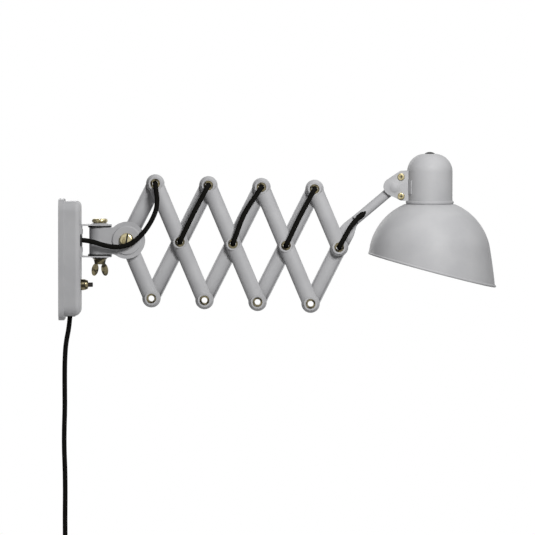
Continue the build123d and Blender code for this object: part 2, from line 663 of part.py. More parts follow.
with BuildPart() as pivot_bushes:
    for start, thickness in (
        (SEAT_OUTER + SEAT, MAIN_WASHER_THICKNESS),
        (-SEAT_OUTER - SEAT - MAIN_WASHER_THICKNESS, MAIN_WASHER_THICKNESS),
        (-SEAT_INNER + SEAT, 2 * (SEAT_INNER - SEAT)),
    ):
        with BuildSketch(facing(PIVOT_X, PIVOT_Z, start)):
            Circle(MAIN_WASHER_RADIUS if thickness < ARM_DEPTH else RIVET_SHOULDER_RADIUS)
            Circle(MAIN_PIN_RADIUS + FIT, mode=Mode.SUBTRACT)
        extrude(amount=thickness)
keep(pivot_bushes.part, "pivot_bushes")


# --- pressed arms -------------------------------------------------------------------
def row_point(along, up):
    """A place in the plane of the scissor, from the row of middle pivots."""
    return ROW.from_local_coords(Vector(along, up, 0))


def arm_plane(number, rear):
    """The open face of an arm, with its origin on the middle pivot of that number."""
    lean = math.radians(OPENING if rear else -OPENING)
    middle = row_point(number * PITCH, 0)
    towards = row_point(number * PITCH + math.cos(lean), math.sin(lean)) - middle
    out = Vector(0, 1 if rear else -1, 0)
    return Plane(origin=middle + out * (ARM_GAP / 2), x_dir=towards, z_dir=out)


def channel_form(plane, stops, inset, reach=0.0):
    """A half-round channel with a flat-topped cup over each pivot, as a solid form."""
    start, end = min(stops), max(stops)
    across = Plane(
        origin=plane.from_local_coords(Vector(start, 0, 0)),
        x_dir=plane.y_dir,
        z_dir=plane.x_dir,
    )
    half_width = ARM_WIDTH / 2 - inset
    depth = ARM_DEPTH - inset
    with BuildPart() as form:
        with BuildSketch(across):
            with BuildLine():
                ThreePointArc((-half_width, 0), (0, depth), (half_width, 0))
                Line((half_width, 0), (-half_width, 0))
            make_face()
        extrude(amount=end - start + reach)
        for stop in stops:
            at_end = stop == start or (stop == end and reach == 0)
            base = END_RADIUS if at_end else MIDDLE_BASE_RADIUS
            cup = PAD_DEPTH - inset
            with Locations(on_arm(plane, stop, cup / 2).location):
                Cone(base - inset, PAD_RADIUS - inset / 2, cup)
    return form.part


def on_arm(plane, along, out):
    """A plane like the arm's own, moved along the arm and outward."""
    origin = plane.from_local_coords(Vector(along, 0, out))
    return Plane(origin=origin, x_dir=plane.x_dir, z_dir=plane.z_dir)


def pressed_arm(name, plane, stops, main_pivot=False):
    """One arm of the scissor, pressed from sheet, with its rivet holes."""
    with BuildPart() as arm:
        add(channel_form(plane, stops, 0))
        add(channel_form(plane, stops, ARM_WALL), mode=Mode.SUBTRACT)
        for stop in stops:
            radius = MAIN_PIN_RADIUS if main_pivot and stop == 0 else RIVET_RADIUS
            with Locations(on_arm(plane, stop, PAD_DEPTH).location):
                Hole(radius + FIT, PAD_DEPTH)
    keep(arm.part, name)


for number in range(DIAMONDS + 1):
    front_stops = [-LINK] * (number > 0) + [0] + [LINK] * (number < DIAMONDS)
    pressed_arm(f"front_arm_{number}", arm_plane(number, False), front_stops, number == 0)
    if number < DIAMONDS:
        rear_stops = [-LINK] * (number > 0) + [0, LINK]
        pressed_arm(f"rear_arm_{number}", arm_plane(number, True), rear_stops, number == 0)


def rivet_profile(place):
    """A hollow rivet: a shoulder between the arms and a rolled flange outside each."""
    half = SEAT_INNER - SEAT
    outside = SEAT_OUTER + SEAT
    lip = RIVET_FLANGE_THICKNESS
    with BuildSketch(Plane(origin=place, x_dir=(1, 0, 0), z_dir=(0, 0, -1))) as profile:
        with BuildLine():
            Polyline(
                (RIVET_BORE, -outside - lip),
                (RIVET_FLANGE_RADIUS - lip / 2, -outside - lip),
                (RIVET_FLANGE_RADIUS, -outside),
                (RIVET_RADIUS, -outside),
                (RIVET_RADIUS, -half),
                (RIVET_SHOULDER_RADIUS, -half),
                (RIVET_SHOULDER_RADIUS, half),
                (RIVET_RADIUS, half),
                (RIVET_RADIUS, outside),
                (RIVET_FLANGE_RADIUS, outside),
                (RIVET_FLANGE_RADIUS - lip / 2, outside + lip),
                (RIVET_BORE, outside + lip),
                close=True,
            )
        make_face()
    return profile.sketch


def pivots_of(number):
    """The end and middle pivots that the front arm of that number carries."""
    places = []
    if number > 0:
        places.append(row_point((number - 0.5) * PITCH, RISE))
        places.append(row_point(number * PITCH, 0))
    if number < DIAMONDS:
        places.append(row_point((number + 0.5) * PITCH, -RISE))
    return places


for number in range(DIAMONDS + 1):
    with BuildPart() as rivets:
        for place in pivots_of(number):
            revolve(rivet_profile(place), axis=Axis(place, (0, 1, 0)))
    keep(rivets.part, f"rivets_{number}")

# --- lamp arm and tube --------------------------------------------------------------
LAMP_ARM_PLANE = arm_plane(DIAMONDS, True)
SEAM = BALL_CENTRE - TUBE_DIRECTION * TUBE_SEAM


def lamp_arm_end(inset):
    """The end of the lamp arm, which bends and narrows from the channel to the tube."""
    arm_way = LAMP_ARM_PLANE.x_dir
    arm_side = LAMP_ARM_PLANE.y_dir * (ARM_WIDTH / 2 - inset)
    tube_side = Vector(0, 1, 0).cross(TUBE_DIRECTION) * (TUBE_RADIUS - inset)
    start = LAMP_ARM_PLANE.from_local_coords(Vector(LAMP_ARM_STRAIGHT - inset, 0, 0))
    end = SEAM - TUBE_DIRECTION * inset
    corners = [start - arm_side, end - tube_side, end + tube_side, start + arm_side]
    flat = [(corner.X, corner.Z) for corner in corners]
    ways = [(arm_way.X, arm_way.Z), (TUBE_DIRECTION.X, TUBE_DIRECTION.Z)]
    with BuildPart() as form:
        with BuildSketch(facing(0, 0, -ARM_GAP / 2)):
            with BuildLine():
                Spline(flat[0], flat[1], tangents=ways)
                Line(flat[1], flat[2])
                Spline(flat[3], flat[2], tangents=ways)
                Line(flat[3], flat[0])
            make_face()
        extrude(amount=-(ARM_DEPTH - inset))
        back = form.faces().sort_by(Axis.Y)[-1]
        fillet(back.edges().filter_by(GeomType.BSPLINE), LAMP_ARM_EDGE - inset)
    return form.part


with BuildPart() as lamp_arm:
    add(channel_form(LAMP_ARM_PLANE, [-LINK, 0], 0, LAMP_ARM_STRAIGHT))
    add(lamp_arm_end(0))
    add(channel_form(LAMP_ARM_PLANE, [-LINK, 0], ARM_WALL, LAMP_ARM_STRAIGHT), mode=Mode.SUBTRACT)
    add(lamp_arm_end(ARM_WALL), mode=Mode.SUBTRACT)
    for stop in (-LINK, 0):
        with Locations(on_arm(LAMP_ARM_PLANE, stop, PAD_DEPTH).location):
            Hole(RIVET_RADIUS + FIT, PAD_DEPTH)
keep(lamp_arm.part, "lamp_arm")


def along_tube(distance):
    """A plane square to the lamp tube, a distance back from the ball."""
    return Plane(
        origin=BALL_CENTRE - TUBE_DIRECTION * distance,
        x_dir=(0, -1, 0),
        z_dir=TUBE_DIRECTION,
    )


NOTCH_PLANE = Plane(
    origin=BALL_CENTRE - TUBE_DIRECTION * (NOTCH_START - NOTCH_LENGTH / 2),
    x_dir=TUBE_DIRECTION,
    z_dir=(0, -1, 0),
)
with BuildPart() as lamp_tube:
    with BuildSketch(along_tube(TUBE_SEAM)):
        Circle(TUBE_RADIUS)
        Circle(TUBE_RADIUS - TUBE_WALL, mode=Mode.SUBTRACT)
    extrude(amount=TUBE_SEAM - TUBE_END)
    with BuildSketch(NOTCH_PLANE):
        SlotOverall(NOTCH_LENGTH, NOTCH_WIDTH)
    extrude(amount=TUBE_RADIUS, mode=Mode.SUBTRACT)
keep(lamp_tube.part, "lamp_tube")

# --- ball and clamp -----------------------------------------------------------------
with BuildPart() as ball:
    with Locations(BALL_CENTRE):
        Sphere(BALL_RADIUS)
    with BuildSketch(along_tube(BALL_FLAT)):
        Circle(BALL_RADIUS)
    extrude(amount=-BALL_RADIUS, mode=Mode.SUBTRACT)
    with BuildSketch(along_tube(BALL_FLAT + SPIGOT_LENGTH)):
        Circle(TUBE_RADIUS - TUBE_WALL - FIT)
    extrude(amount=SPIGOT_LENGTH + 1)
    with Locations(along_tube(-BALL_RADIUS).location):
        Hole(BALL_BORE, 3 * BALL_RADIUS)
keep(ball.part, "ball")


def clamp_outline(inner):
    """The clamp plate's outline: a round nose over the ball and a straight neck edge."""
    neck_edge = NECK_X - math.sqrt(NECK_RADIUS**2 - CLAMP_INNER**2) - SEAT - BALL_X
    with BuildSketch(inner) as outline:
        with Locations(CLAMP_NOSE):
            Circle(CLAMP_NOSE_RADIUS)
        with Locations(
            (CLAMP_CORNER_X, CLAMP_TOP - CLAMP_CORNER_RADIUS),
            (CLAMP_CORNER_X, CLAMP_BOTTOM + CLAMP_CORNER_RADIUS),
        ):
            Circle(CLAMP_CORNER_RADIUS)
        make_hull()
        with Locations(((CLAMP_CORNER_X + neck_edge) / 2, (CLAMP_TOP + CLAMP_BOTTOM) / 2)):
            Rectangle(neck_edge - CLAMP_CORNER_X, CLAMP_TOP - CLAMP_BOTTOM)
    return outline.sketch


def clamp_plate(name, side):
    """One stamped plate of the clamp; side is 1 towards the viewer, -1 away."""
    inner = Plane(
        origin=(BALL_X, -side * CLAMP_INNER, BALL_Z), x_dir=(1, 0, 0), z_dir=(0, -1, 0)
    )
    cup_radius = BALL_RADIUS + SEAT + CLAMP_THICKNESS
    cup_base = CLAMP_INNER + SEAT
    cup_edge = math.sqrt(cup_radius**2 - cup_base**2)
    shoulder = math.sqrt(cup_radius**2 / 2 + cup_radius * cup_base / 2)
    waist = math.sqrt(cup_radius**2 - shoulder**2)
    start, end = sorted((180 + side * TAB_START_ANGLE, 180 + side * TAB_END_ANGLE))
    with BuildPart() as plate:
        extrude(clamp_outline(inner), amount=side * CLAMP_THICKNESS)
        with BuildSketch(Plane(origin=BALL_CENTRE, x_dir=(1, 0, 0), z_dir=(0, 0, 1))):
            with BuildLine():
                Polyline(
                    (0, -side * cup_radius),
                    (0, -side * cup_base),
                    (cup_edge, -side * cup_base),
                )
                ThreePointArc(
                    (cup_edge, -side * cup_base),
                    (waist, -side * shoulder),
                    (0, -side * cup_radius),
                )
            make_face()
        revolve(axis=Axis(BALL_CENTRE, (0, 1, 0)))
        with Locations(BALL_CENTRE):
            Sphere(BALL_RADIUS + SEAT, mode=Mode.SUBTRACT)
        with BuildSketch(level(BALL_Z + TAB_BOTTOM, NECK_X)):
            with BuildLine():
                near = CenterArc((0, 0), NECK_RADIUS + SEAT, start, end - start)
                far = CenterArc((0, 0), NECK_RADIUS + SEAT + TAB_THICKNESS, start, end - start)
                Line(near @ 0, far @ 0)
                Line(near @ 1, far @ 1)
            make_face()
        extrude(amount=TAB_TOP - TAB_BOTTOM)
        for height in (CLAMP_SCREW_TOP, CLAMP_SCREW_BOTTOM):
            with BuildSketch(inner):
                with Locations((CLAMP_SCREW_X, height)):
                    Circle(CLAMP_SCREW_RADIUS + FIT)
            extrude(amount=side * 2 * CLAMP_THICKNESS, mode=Mode.SUBTRACT)
    keep(plate.part, name)


clamp_plate("clamp_plate_front", 1)
clamp_plate("clamp_plate_rear", -1)

with BuildPart() as clamp_screws:
    for height in (CLAMP_SCREW_TOP, CLAMP_SCREW_BOTTOM):
        x, z = BALL_X + CLAMP_SCREW_X, BALL_Z + height
        with BuildSketch(facing(x, z, CLAMP_OUTER)):
            Circle(CLAMP_HEAD_RADIUS)
        extrude(amount=CLAMP_HEAD_HEIGHT)
        fillet(clamp_screws.faces().sort_by(Axis.Y)[0].edges(), CLAMP_HEAD_HEIGHT / 2)
        with BuildSketch(facing(x, z, CLAMP_OUTER + CLAMP_HEAD_HEIGHT)):
            Rectangle(CLAMP_RECESS_WIDTH, CLAMP_HEAD_RADIUS)
            Rectangle(CLAMP_HEAD_RADIUS, CLAMP_RECESS_WIDTH)
        extrude(amount=-CLAMP_HEAD_HEIGHT / 2, mode=Mode.SUBTRACT)
        with BuildSketch(facing(x, z, CLAMP_OUTER)):
            Circle(CLAMP_SCREW_RADIUS)
        extrude(amount=-(2 * CLAMP_OUTER + CLAMP_NUT_HEIGHT))
        with BuildSketch(facing(x, z, -CLAMP_OUTER)):
            RegularPolygon(CLAMP_NUT_RADIUS, 6)
            Circle(CLAMP_SCREW_RADIUS + FIT, mode=Mode.SUBTRACT)
        extrude(amount=-CLAMP_NUT_HEIGHT)
keep(clamp_screws.part, "clamp_screws")

# --- neck and shade -----------------------------------------------------------------
NECK_INNER = NECK_RADIUS - NECK_WALL
FLAT_TOP = NECK_RADIUS - NECK_CORNER
SHOULDER_Z = NECK_TOP - NECK_CORNER
DIAGONAL = math.sqrt(0.5)


def neck_corner(inset):
    """Start, middle and end of the dome's round corner, moved in by a wall."""
    radius = NECK_CORNER - inset
    return (
        (FLAT_TOP, SHOULDER_Z + radius),
        (FLAT_TOP + radius * DIAGONAL, SHOULDER_Z + radius * DIAGONAL),
        (FLAT_TOP + radius, SHOULDER_Z),
    )


with BuildPart() as neck_cap:
    with BuildSketch(NECK_PLANE):
        with BuildLine():
            Line((PLUG_HOLE_RADIUS, NECK_TOP), (FLAT_TOP, NECK_TOP))
            ThreePointArc(*neck_corner(0))
            Polyline(
                (NECK_RADIUS, SHOULDER_Z),
                (NECK_RADIUS, BEAD_TOP),
                (BEAD_RADIUS - NECK_WALL / 2, BEAD_TOP - NECK_WALL / 2),
                (BEAD_RADIUS, BEAD_TOP - 2 * NECK_WALL),
                (BEAD_RADIUS, BEAD_BOTTOM + 2 * NECK_WALL),
                (BEAD_RADIUS - NECK_WALL, BEAD_BOTTOM),
                (NECK_INNER, BEAD_BOTTOM),
                (NECK_INNER, SHOULDER_Z),
            )
            ThreePointArc(*reversed(neck_corner(NECK_WALL)))
            Polyline(
                (FLAT_TOP, NECK_TOP - NECK_WALL),
                (PLUG_HOLE_RADIUS, NECK_TOP - NECK_WALL),
                (PLUG_HOLE_RADIUS, NECK_TOP),
            )
        make_face()
    revolve(axis=NECK_AXIS)
    neck_side = (NECK_X - NECK_RADIUS, 0, NECK_CORD_HOLE_Z)
    with Locations(Plane(origin=neck_side, z_dir=(-1, 0, 0)).location):
        Hole(NECK_CORD_HOLE_RADIUS, NECK_CORNER / 2)
keep(neck_cap.part, "neck_cap")

PLUG_DOME_HEIGHT = 0.75 * PLUG_HEIGHT
PLUG_DOME_RADIUS = (PLUG_RADIUS**2 + PLUG_DOME_HEIGHT**2) / (2 * PLUG_DOME_HEIGHT)
PLUG_DOME_ANGLE = math.degrees(math.asin(PLUG_RADIUS / PLUG_DOME_RADIUS))
with BuildPart() as vent_plug:
    with BuildSketch(NECK_PLANE):
        with BuildLine():
            Polyline(
                (0, NECK_TOP + PLUG_HEIGHT),
                (0, NECK_TOP - PLUG_SHANK),
                (PLUG_HOLE_RADIUS - FIT, NECK_TOP - PLUG_SHANK),
                (PLUG_HOLE_RADIUS - FIT, NECK_TOP + SEAT),
                (PLUG_RADIUS, NECK_TOP + SEAT),
                (PLUG_RADIUS, NECK_TOP + PLUG_HEIGHT / 4),
            )
            CenterArc(
                (0, NECK_TOP + PLUG_HEIGHT - PLUG_DOME_RADIUS),
                PLUG_DOME_RADIUS,
                90 - PLUG_DOME_ANGLE,
                PLUG_DOME_ANGLE,
            )
        make_face()
    revolve(axis=NECK_AXIS)
keep(vent_plug.part, "vent_plug")

BELL_CENTRE = Vector(4.7, 1.8)  # of the arc through the shoulder, flare and waist
COLLAR_OUTER = NECK_INNER - 2 * FIT


def bell_form(inset):
    """The bell as a solid form of revolution, moved in by a wall, before its mouth is cut."""
    outline = []
    for place in (SHADE_SHOULDER, SHADE_FLARE, SHADE_WAIST, SHADE_SKIRT, SHADE_HEM):
        inward = (BELL_CENTRE - Vector(*place)).normalized() * inset
        outline.append((place[0] + inward.X, place[1] + inward.Y))
    shoulder, flare, waist, skirt, hem = outline
    collar = COLLAR_OUTER - inset
    with BuildPart() as form:
        with BuildSketch(NECK_PLANE):
            with BuildLine():
                Polyline(
                    (0, hem[1]),
                    (0, COLLAR_TOP),
                    (collar, COLLAR_TOP),
                    (collar, shoulder[1]),
                    shoulder,
                )
                ThreePointArc(shoulder, flare, waist)
                ThreePointArc(waist, skirt, hem)
                Line(hem, (0, hem[1]))
            make_face()
        revolve(axis=NECK_AXIS)
    return form.part


mouth_left = Vector(MOUTH_LEFT[0], 0, MOUTH_LEFT[1])
mouth_right = Vector(MOUTH_RIGHT[0], 0, MOUTH_RIGHT[1])
mouth_slope = (mouth_right - mouth_left).normalized()
MOUTH = Plane(
    origin=(mouth_left + mouth_right) * 0.5,
    x_dir=mouth_slope,
    z_dir=mouth_slope.cross(Vector(0, 1, 0)),
)
with BuildSketch(MOUTH) as rim_outline:
    Ellipse((mouth_right - mouth_left).length / 2 - RIM_RADIUS, RIM_HALF_WIDTH - RIM_RADIUS)
with BuildPart() as bell_shade:
    add(bell_form(0))
    add(bell_form(SHADE_WALL), mode=Mode.SUBTRACT)
    split(bisect_by=MOUTH, keep=Keep.TOP)
    rim_path = rim_outline.sketch.edges()[0]
    with BuildSketch(Plane(origin=rim_path @ 0, z_dir=rim_path % 0)):
        Circle(RIM_RADIUS)
    sweep(path=rim_path)
keep(bell_shade.part, "bell_shade")

# --- lampholder ---------------------------------------------------------------------
GALLERY_BOTTOM = COLLAR_TOP + SEAT
GALLERY_TOP = GALLERY_BOTTOM + GALLERY_THICKNESS
with BuildPart() as gallery_plate:
    with BuildSketch(level(GALLERY_BOTTOM, NECK_X)):
        Circle(COLLAR_OUTER)
        Circle(HOLDER_RADIUS + FIT, mode=Mode.SUBTRACT)
        with PolarLocations((COLLAR_OUTER + HOLDER_RADIUS) / 2, GALLERY_HOLES):
            Circle(GALLERY_HOLE_RADIUS, mode=Mode.SUBTRACT)
    extrude(amount=GALLERY_THICKNESS)
keep(gallery_plate.part, "gallery_plate")

with BuildPart() as lampholder:
    with BuildSketch(NECK_PLANE):
        with BuildLine():
            Polyline(
                (0, HOLDER_BOTTOM + SOCKET_DEPTH),
                (0, HOLDER_TOP),
                (HOLDER_RADIUS - 5, HOLDER_TOP),
                (HOLDER_RADIUS, HOLDER_TOP - 8),
                (HOLDER_RADIUS, GALLERY_BOTTOM - SEAT),
                (HOLDER_FLANGE_RADIUS, GALLERY_BOTTOM - SEAT),
                (HOLDER_FLANGE_RADIUS, GALLERY_BOTTOM - SEAT - HOLDER_FLANGE_THICKNESS),
                (HOLDER_RADIUS, GALLERY_BOTTOM - SEAT - HOLDER_FLANGE_THICKNESS),
                (HOLDER_RADIUS - 1.5, HOLDER_BOTTOM),
                (SOCKET_RADIUS, HOLDER_BOTTOM),
                (SOCKET_RADIUS, HOLDER_BOTTOM + SOCKET_DEPTH),
                close=True,
            )
        make_face()
    revolve(axis=NECK_AXIS)
    with BuildSketch(level(GALLERY_TOP + SEAT, NECK_X)):
        Circle(HOLDER_RING_RADIUS)
        Circle(HOLDER_RADIUS + FIT, mode=Mode.SUBTRACT)
    extrude(amount=HOLDER_RING_HEIGHT)
keep(lampholder.part, "lampholder")

# --- the cord along the arm ---------------------------------------------------------
LOOP = [
    (BOX_DEPTH - BOX_WALL - 2, ARM_CORD_Y, ARM_CORD_Z),
    (48.5, ARM_CORD_Y, ARM_CORD_Z),
    (83.0, -30.4, 20.8),
    (112.0, -30.8, 21.6),
    (134.5, -29.8, 37.5),
    (152.5, -25.0, 62.0),
    (163.5, -19.5, 90.0),
]


def halfway(first, second):
    """The place midway between two points of a route."""
    return tuple((a + b) / 2 for a, b in zip(first, second))


loop_end = row_point(0.5 * PITCH, RISE)
wall_joint = halfway(LOOP[2], LOOP[3])
arm_joint = halfway(LOOP[4], LOOP[5])
cord("loop_cord_wall", [*LOOP[:3], wall_joint])
cord("loop_cord_knuckle", [wall_joint, *LOOP[3:5], arm_joint])
cord(
    "loop_cord_arm",
    [
        arm_joint,
        *LOOP[5:],
        (loop_end.X, -CORD_OFFSET, loop_end.Z),
        (loop_end.X, 0, loop_end.Z),
    ],
    CORD_TURN,
)


def threaded_cord(name, start, end, side, bow):
    """A run of cord beside an arm, from the bore of one rivet to the bore of another."""
    way = (end - start).normalized()
    sideways = Vector(way.Z, 0, -way.X) * -bow
    middle = (start + end) * 0.5 + sideways
    cord(
        name,
        [
            (start.X, 0, start.Z),
            (start.X, side * CORD_OFFSET, start.Z),
            (middle.X, side * CORD_OFFSET, middle.Z),
            (end.X, side * CORD_OFFSET, end.Z),
            (end.X, 0, end.Z),
        ],
        CORD_TURN,
    )


FRONT_BOWS = {1: 1.2, 2: 6.5, 3: 1.6}
for number in range(1, DIAMONDS + 1):
    middle_pivot = row_point(number * PITCH, 0)
    upper_pivot = row_point((number - 0.5) * PITCH, RISE)
    threaded_cord(f"rear_cord_{number}", upper_pivot, middle_pivot, 1, 1.2)
    if number < DIAMONDS:
        next_pivot = row_point((number + 0.5) * PITCH, RISE)
        threaded_cord(f"front_cord_{number}", middle_pivot, next_pivot, -1, FRONT_BOWS[number])

last_pivot = row_point(DIAMONDS * PITCH, 0)
ball_exit = BALL_CENTRE + TUBE_DIRECTION * CORD_END_IN_BALL
tube_entry = BALL_CENTRE - TUBE_DIRECTION * (NOTCH_START - NOTCH_LENGTH - CORD_ENTRY_REACH)
cord(
    "lamp_cord",
    [
        (last_pivot.X, 0, last_pivot.Z),
        (last_pivot.X, -CORD_OFFSET, last_pivot.Z),
        (469.5, -CORD_OFFSET, 35.0),
        (484.0, -CORD_OFFSET + 0.5, 60.5),
        (tube_entry.X, 0, tube_entry.Z),
        (ball_exit.X, 0, ball_exit.Z),
    ],
    CORD_TURN,
)
neck_turn = BALL_CENTRE + TUBE_DIRECTION * NECK_CORD_REACH
cord(
    "neck_cord",
    [
        (ball_exit.X, 0, ball_exit.Z),
        (neck_turn.X, 0, neck_turn.Z),
        (NECK_X, 0, neck_turn.Z - NECK_CORD_DROP),
        (NECK_X, 0, HOLDER_TOP),
    ],
)

# --- mains cord, put-away coil and plug ---------------------------------------------
COIL_OUTER_RADIUS = COIL_INNER_RADIUS + COIL_HALF_TURNS_IN * COIL_PITCH / 2
COIL_CENTRE = Vector(COIL_LEFT + COIL_OUTER_RADIUS, 0, COIL_HEIGHT)
COIL_START = Vector(COIL_LEFT, COIL_LAYER_OFFSET, COIL_CENTRE.Z + COIL_TOP_RUN)
cord(
    "mains_cord",
    [
        (MAINS_CORD_X, 0, BODY_BOTTOM + 5),
        (MAINS_CORD_X, 0, -112.0),
        (12.4, 0.3, -138.0),
        (8.8, 0.0, -168.0),
        (8.6, -0.5, -205.0),
        (9.0, -0.8, -245.0),
        (7.8, -0.4, -280.0),
        (7.6, 0.3, -312.0),
        (9.0, 0.9, -348.0),
        (9.3, 1.7, -386.0),
        (8.8, 3.0, -426.0),
        (COIL_LEFT, COIL_LAYER_OFFSET, -464.0),
        (COIL_START.X, COIL_START.Y, COIL_START.Z),
    ],
)


def coil_station(step):
    """Place and direction of the coil's centre line after a number of half turns."""
    angle = math.pi * (1 + step)
    inward = step <= COIL_HALF_TURNS_IN
    steps_in = step if inward else 2 * COIL_HALF_TURNS_IN + 1 - step
    radius = COIL_OUTER_RADIUS - steps_in * COIL_PITCH / 2
    layer = COIL_LAYER_OFFSET if inward else -COIL_LAYER_OFFSET
    place = COIL_CENTRE + Vector(radius * math.cos(angle), layer, radius * math.sin(angle))
    return place, Vector(-math.sin(angle), 0, math.cos(angle))


def biarc(start, start_way, end, end_way):
    """Two arcs that join two places and keep the direction at each."""
    chord = end - start
    ways = start_way + end_way
    apart = 1 - start_way.dot(end_way)
    along = chord.dot(ways)
    reach = (math.sqrt(along**2 + 2 * apart * chord.dot(chord)) - along) / (2 * apart)
    first_knee = start + start_way * reach
    second_knee = end - end_way * reach
    joint = (first_knee + second_knee) * 0.5
    TangentArc(start, joint, tangent=start_way)
    TangentArc(joint, end, tangent=second_knee - first_knee)


HALF_TURNS = 2 * COIL_HALF_TURNS_IN
with BuildPart() as mains_cord_coil:
    with BuildLine() as coil_path:
        first_place, first_way = coil_station(0)
        Line(COIL_START, first_place)
        for step in range(HALF_TURNS):
            place, way = coil_station(step)
            next_place, next_way = coil_station(step + 1)
            biarc(place, way, next_place, next_way)
        last_place, last_way = coil_station(HALF_TURNS)
        Line(last_place, last_place + last_way * TAIL_LENGTH)
    with BuildSketch(Plane(origin=COIL_START, z_dir=first_way)):
        Circle(CORD_RADIUS)
    sweep()
keep(mains_cord_coil.part, "mains_cord_coil")


def least_gap(line, apart, step=2.5):
    """The least distance between parts of a line further apart along it than given."""
    count = int(line.length / step)
    spots = [line @ (index / count) for index in range(count + 1)]
    skip = int(apart / step)
    return min(
        (spots[a] - spots[b]).length
        for a in range(count + 1)
        for b in range(a + skip, count + 1)
    )


coil_line = coil_path.wire()
coil_gap = least_gap(coil_line, 60) - 2 * CORD_RADIUS
print(f"mains_cord_coil: {coil_line.length:.0f} mm, least gap {coil_gap:.2f} mm")

TAIL_END = last_place + last_way * TAIL_LENGTH
with BuildPart() as mains_plug:
    sleeve = Plane(origin=TAIL_END, x_dir=(0, 1, 0), z_dir=last_way)
    with BuildSketch(sleeve):
        Circle(PLUG_SLEEVE_RADIUS)
    with BuildSketch(sleeve.offset(PLUG_SLEEVE_LENGTH)):
        RectangleRounded(PLUG_WIDTH * PLUG_SHOULDER, PLUG_DEPTH, PLUG_DEPTH / 2 - 1)
    loft(ruled=True)
    with BuildSketch(sleeve.offset(PLUG_SLEEVE_LENGTH)):
        RectangleRounded(PLUG_WIDTH, PLUG_DEPTH, PLUG_DEPTH / 2 - 1)
    extrude(amount=PLUG_BODY_LENGTH)
    with BuildSketch(sleeve.offset(PLUG_SLEEVE_LENGTH + PLUG_BODY_LENGTH)):
        with Locations((-PLUG_PIN_SPACING / 2, 0), (PLUG_PIN_SPACING / 2, 0)):
            Circle(PLUG_PIN_RADIUS)
    extrude(amount=PLUG_PIN_LENGTH)
keep(mains_plug.part, "mains_plug")

TIE_RADIUS = (COIL_OUTER_RADIUS + COIL_INNER_RADIUS - COIL_PITCH / 2) / 2
TIE_MIDDLE = COIL_CENTRE + Vector(0, 0, TIE_RADIUS)
TIE_PLANE = Plane(
    origin=TIE_MIDDLE - Vector(TIE_WIDTH / 2, 0, 0),
    x_dir=(0, 1, 0),
    z_dir=(1, 0, 0),
)
TIE_HEIGHT = COIL_OUTER_RADIUS - COIL_INNER_RADIUS - COIL_PITCH + 2 * CORD_RADIUS + 2 * TIE_SLACK
TIE_DEPTH = 2 * (COIL_LAYER_OFFSET + CORD_RADIUS + FREE)
with BuildPart() as cord_tie:
    with BuildSketch(TIE_PLANE):
        RectangleRounded(TIE_DEPTH + 2 * TIE_THICKNESS, TIE_HEIGHT + 2 * TIE_THICKNESS, 3)
        RectangleRounded(TIE_DEPTH, TIE_HEIGHT, 3 - TIE_THICKNESS, mode=Mode.SUBTRACT)
    extrude(amount=TIE_WIDTH)
keep(cord_tie.part, "cord_tie")

os.makedirs("parts", exist_ok=True)
for piece in finished:
    export_step(piece, f"parts/{piece.label}.step")
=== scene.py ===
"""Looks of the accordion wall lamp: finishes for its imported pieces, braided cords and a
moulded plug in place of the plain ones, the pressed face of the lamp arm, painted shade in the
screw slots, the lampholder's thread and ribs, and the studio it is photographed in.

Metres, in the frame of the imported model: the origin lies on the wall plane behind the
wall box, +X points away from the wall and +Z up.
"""

from __future__ import annotations

import json
import logging
import math
from dataclasses import dataclass, field
from enum import Enum
from typing import Iterable, Sequence

import bmesh
import bpy
from mathutils import Matrix, Vector
from mathutils.geometry import interpolate_bezier

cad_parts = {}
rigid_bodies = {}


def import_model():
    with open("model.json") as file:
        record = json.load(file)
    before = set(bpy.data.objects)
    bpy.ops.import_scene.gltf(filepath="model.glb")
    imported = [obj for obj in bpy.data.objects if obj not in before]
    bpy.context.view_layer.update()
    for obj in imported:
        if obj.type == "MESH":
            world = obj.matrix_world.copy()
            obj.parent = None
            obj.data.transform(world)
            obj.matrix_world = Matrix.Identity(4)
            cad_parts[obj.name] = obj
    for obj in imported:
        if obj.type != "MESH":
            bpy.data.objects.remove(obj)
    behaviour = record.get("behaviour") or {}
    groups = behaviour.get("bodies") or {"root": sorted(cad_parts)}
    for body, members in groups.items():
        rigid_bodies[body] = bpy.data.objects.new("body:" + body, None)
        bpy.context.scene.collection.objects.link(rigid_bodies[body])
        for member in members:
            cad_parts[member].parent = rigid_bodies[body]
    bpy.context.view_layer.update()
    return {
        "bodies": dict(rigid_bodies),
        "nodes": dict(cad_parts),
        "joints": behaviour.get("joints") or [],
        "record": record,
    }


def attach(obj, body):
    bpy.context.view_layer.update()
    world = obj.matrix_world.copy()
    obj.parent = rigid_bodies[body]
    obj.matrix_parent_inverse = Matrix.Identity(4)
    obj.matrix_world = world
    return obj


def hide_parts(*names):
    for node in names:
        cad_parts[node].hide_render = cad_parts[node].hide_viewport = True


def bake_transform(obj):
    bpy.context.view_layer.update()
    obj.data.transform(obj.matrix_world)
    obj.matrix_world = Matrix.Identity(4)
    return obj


log = logging.getLogger("wall_lamp")

Point = tuple[float, float, float]

WHITE = (1.0, 1.0, 1.0, 1.0)
WELD_DISTANCE = 0.000004
CREASE_ANGLE = math.radians(32.0)
TUBE_ANGLE = math.radians(40.0)  # between the lamp tube and the level
SHADE_X = 0.6111


class Slot(Enum):
    """The record's material slots."""

    PAINT = "paint"
    BRASS = "brass"
    RUBBER = "black_rubber"
    BRAID = "cord_braid"
    PLASTIC = "dark_plastic"
    PLATED = "plated_steel"


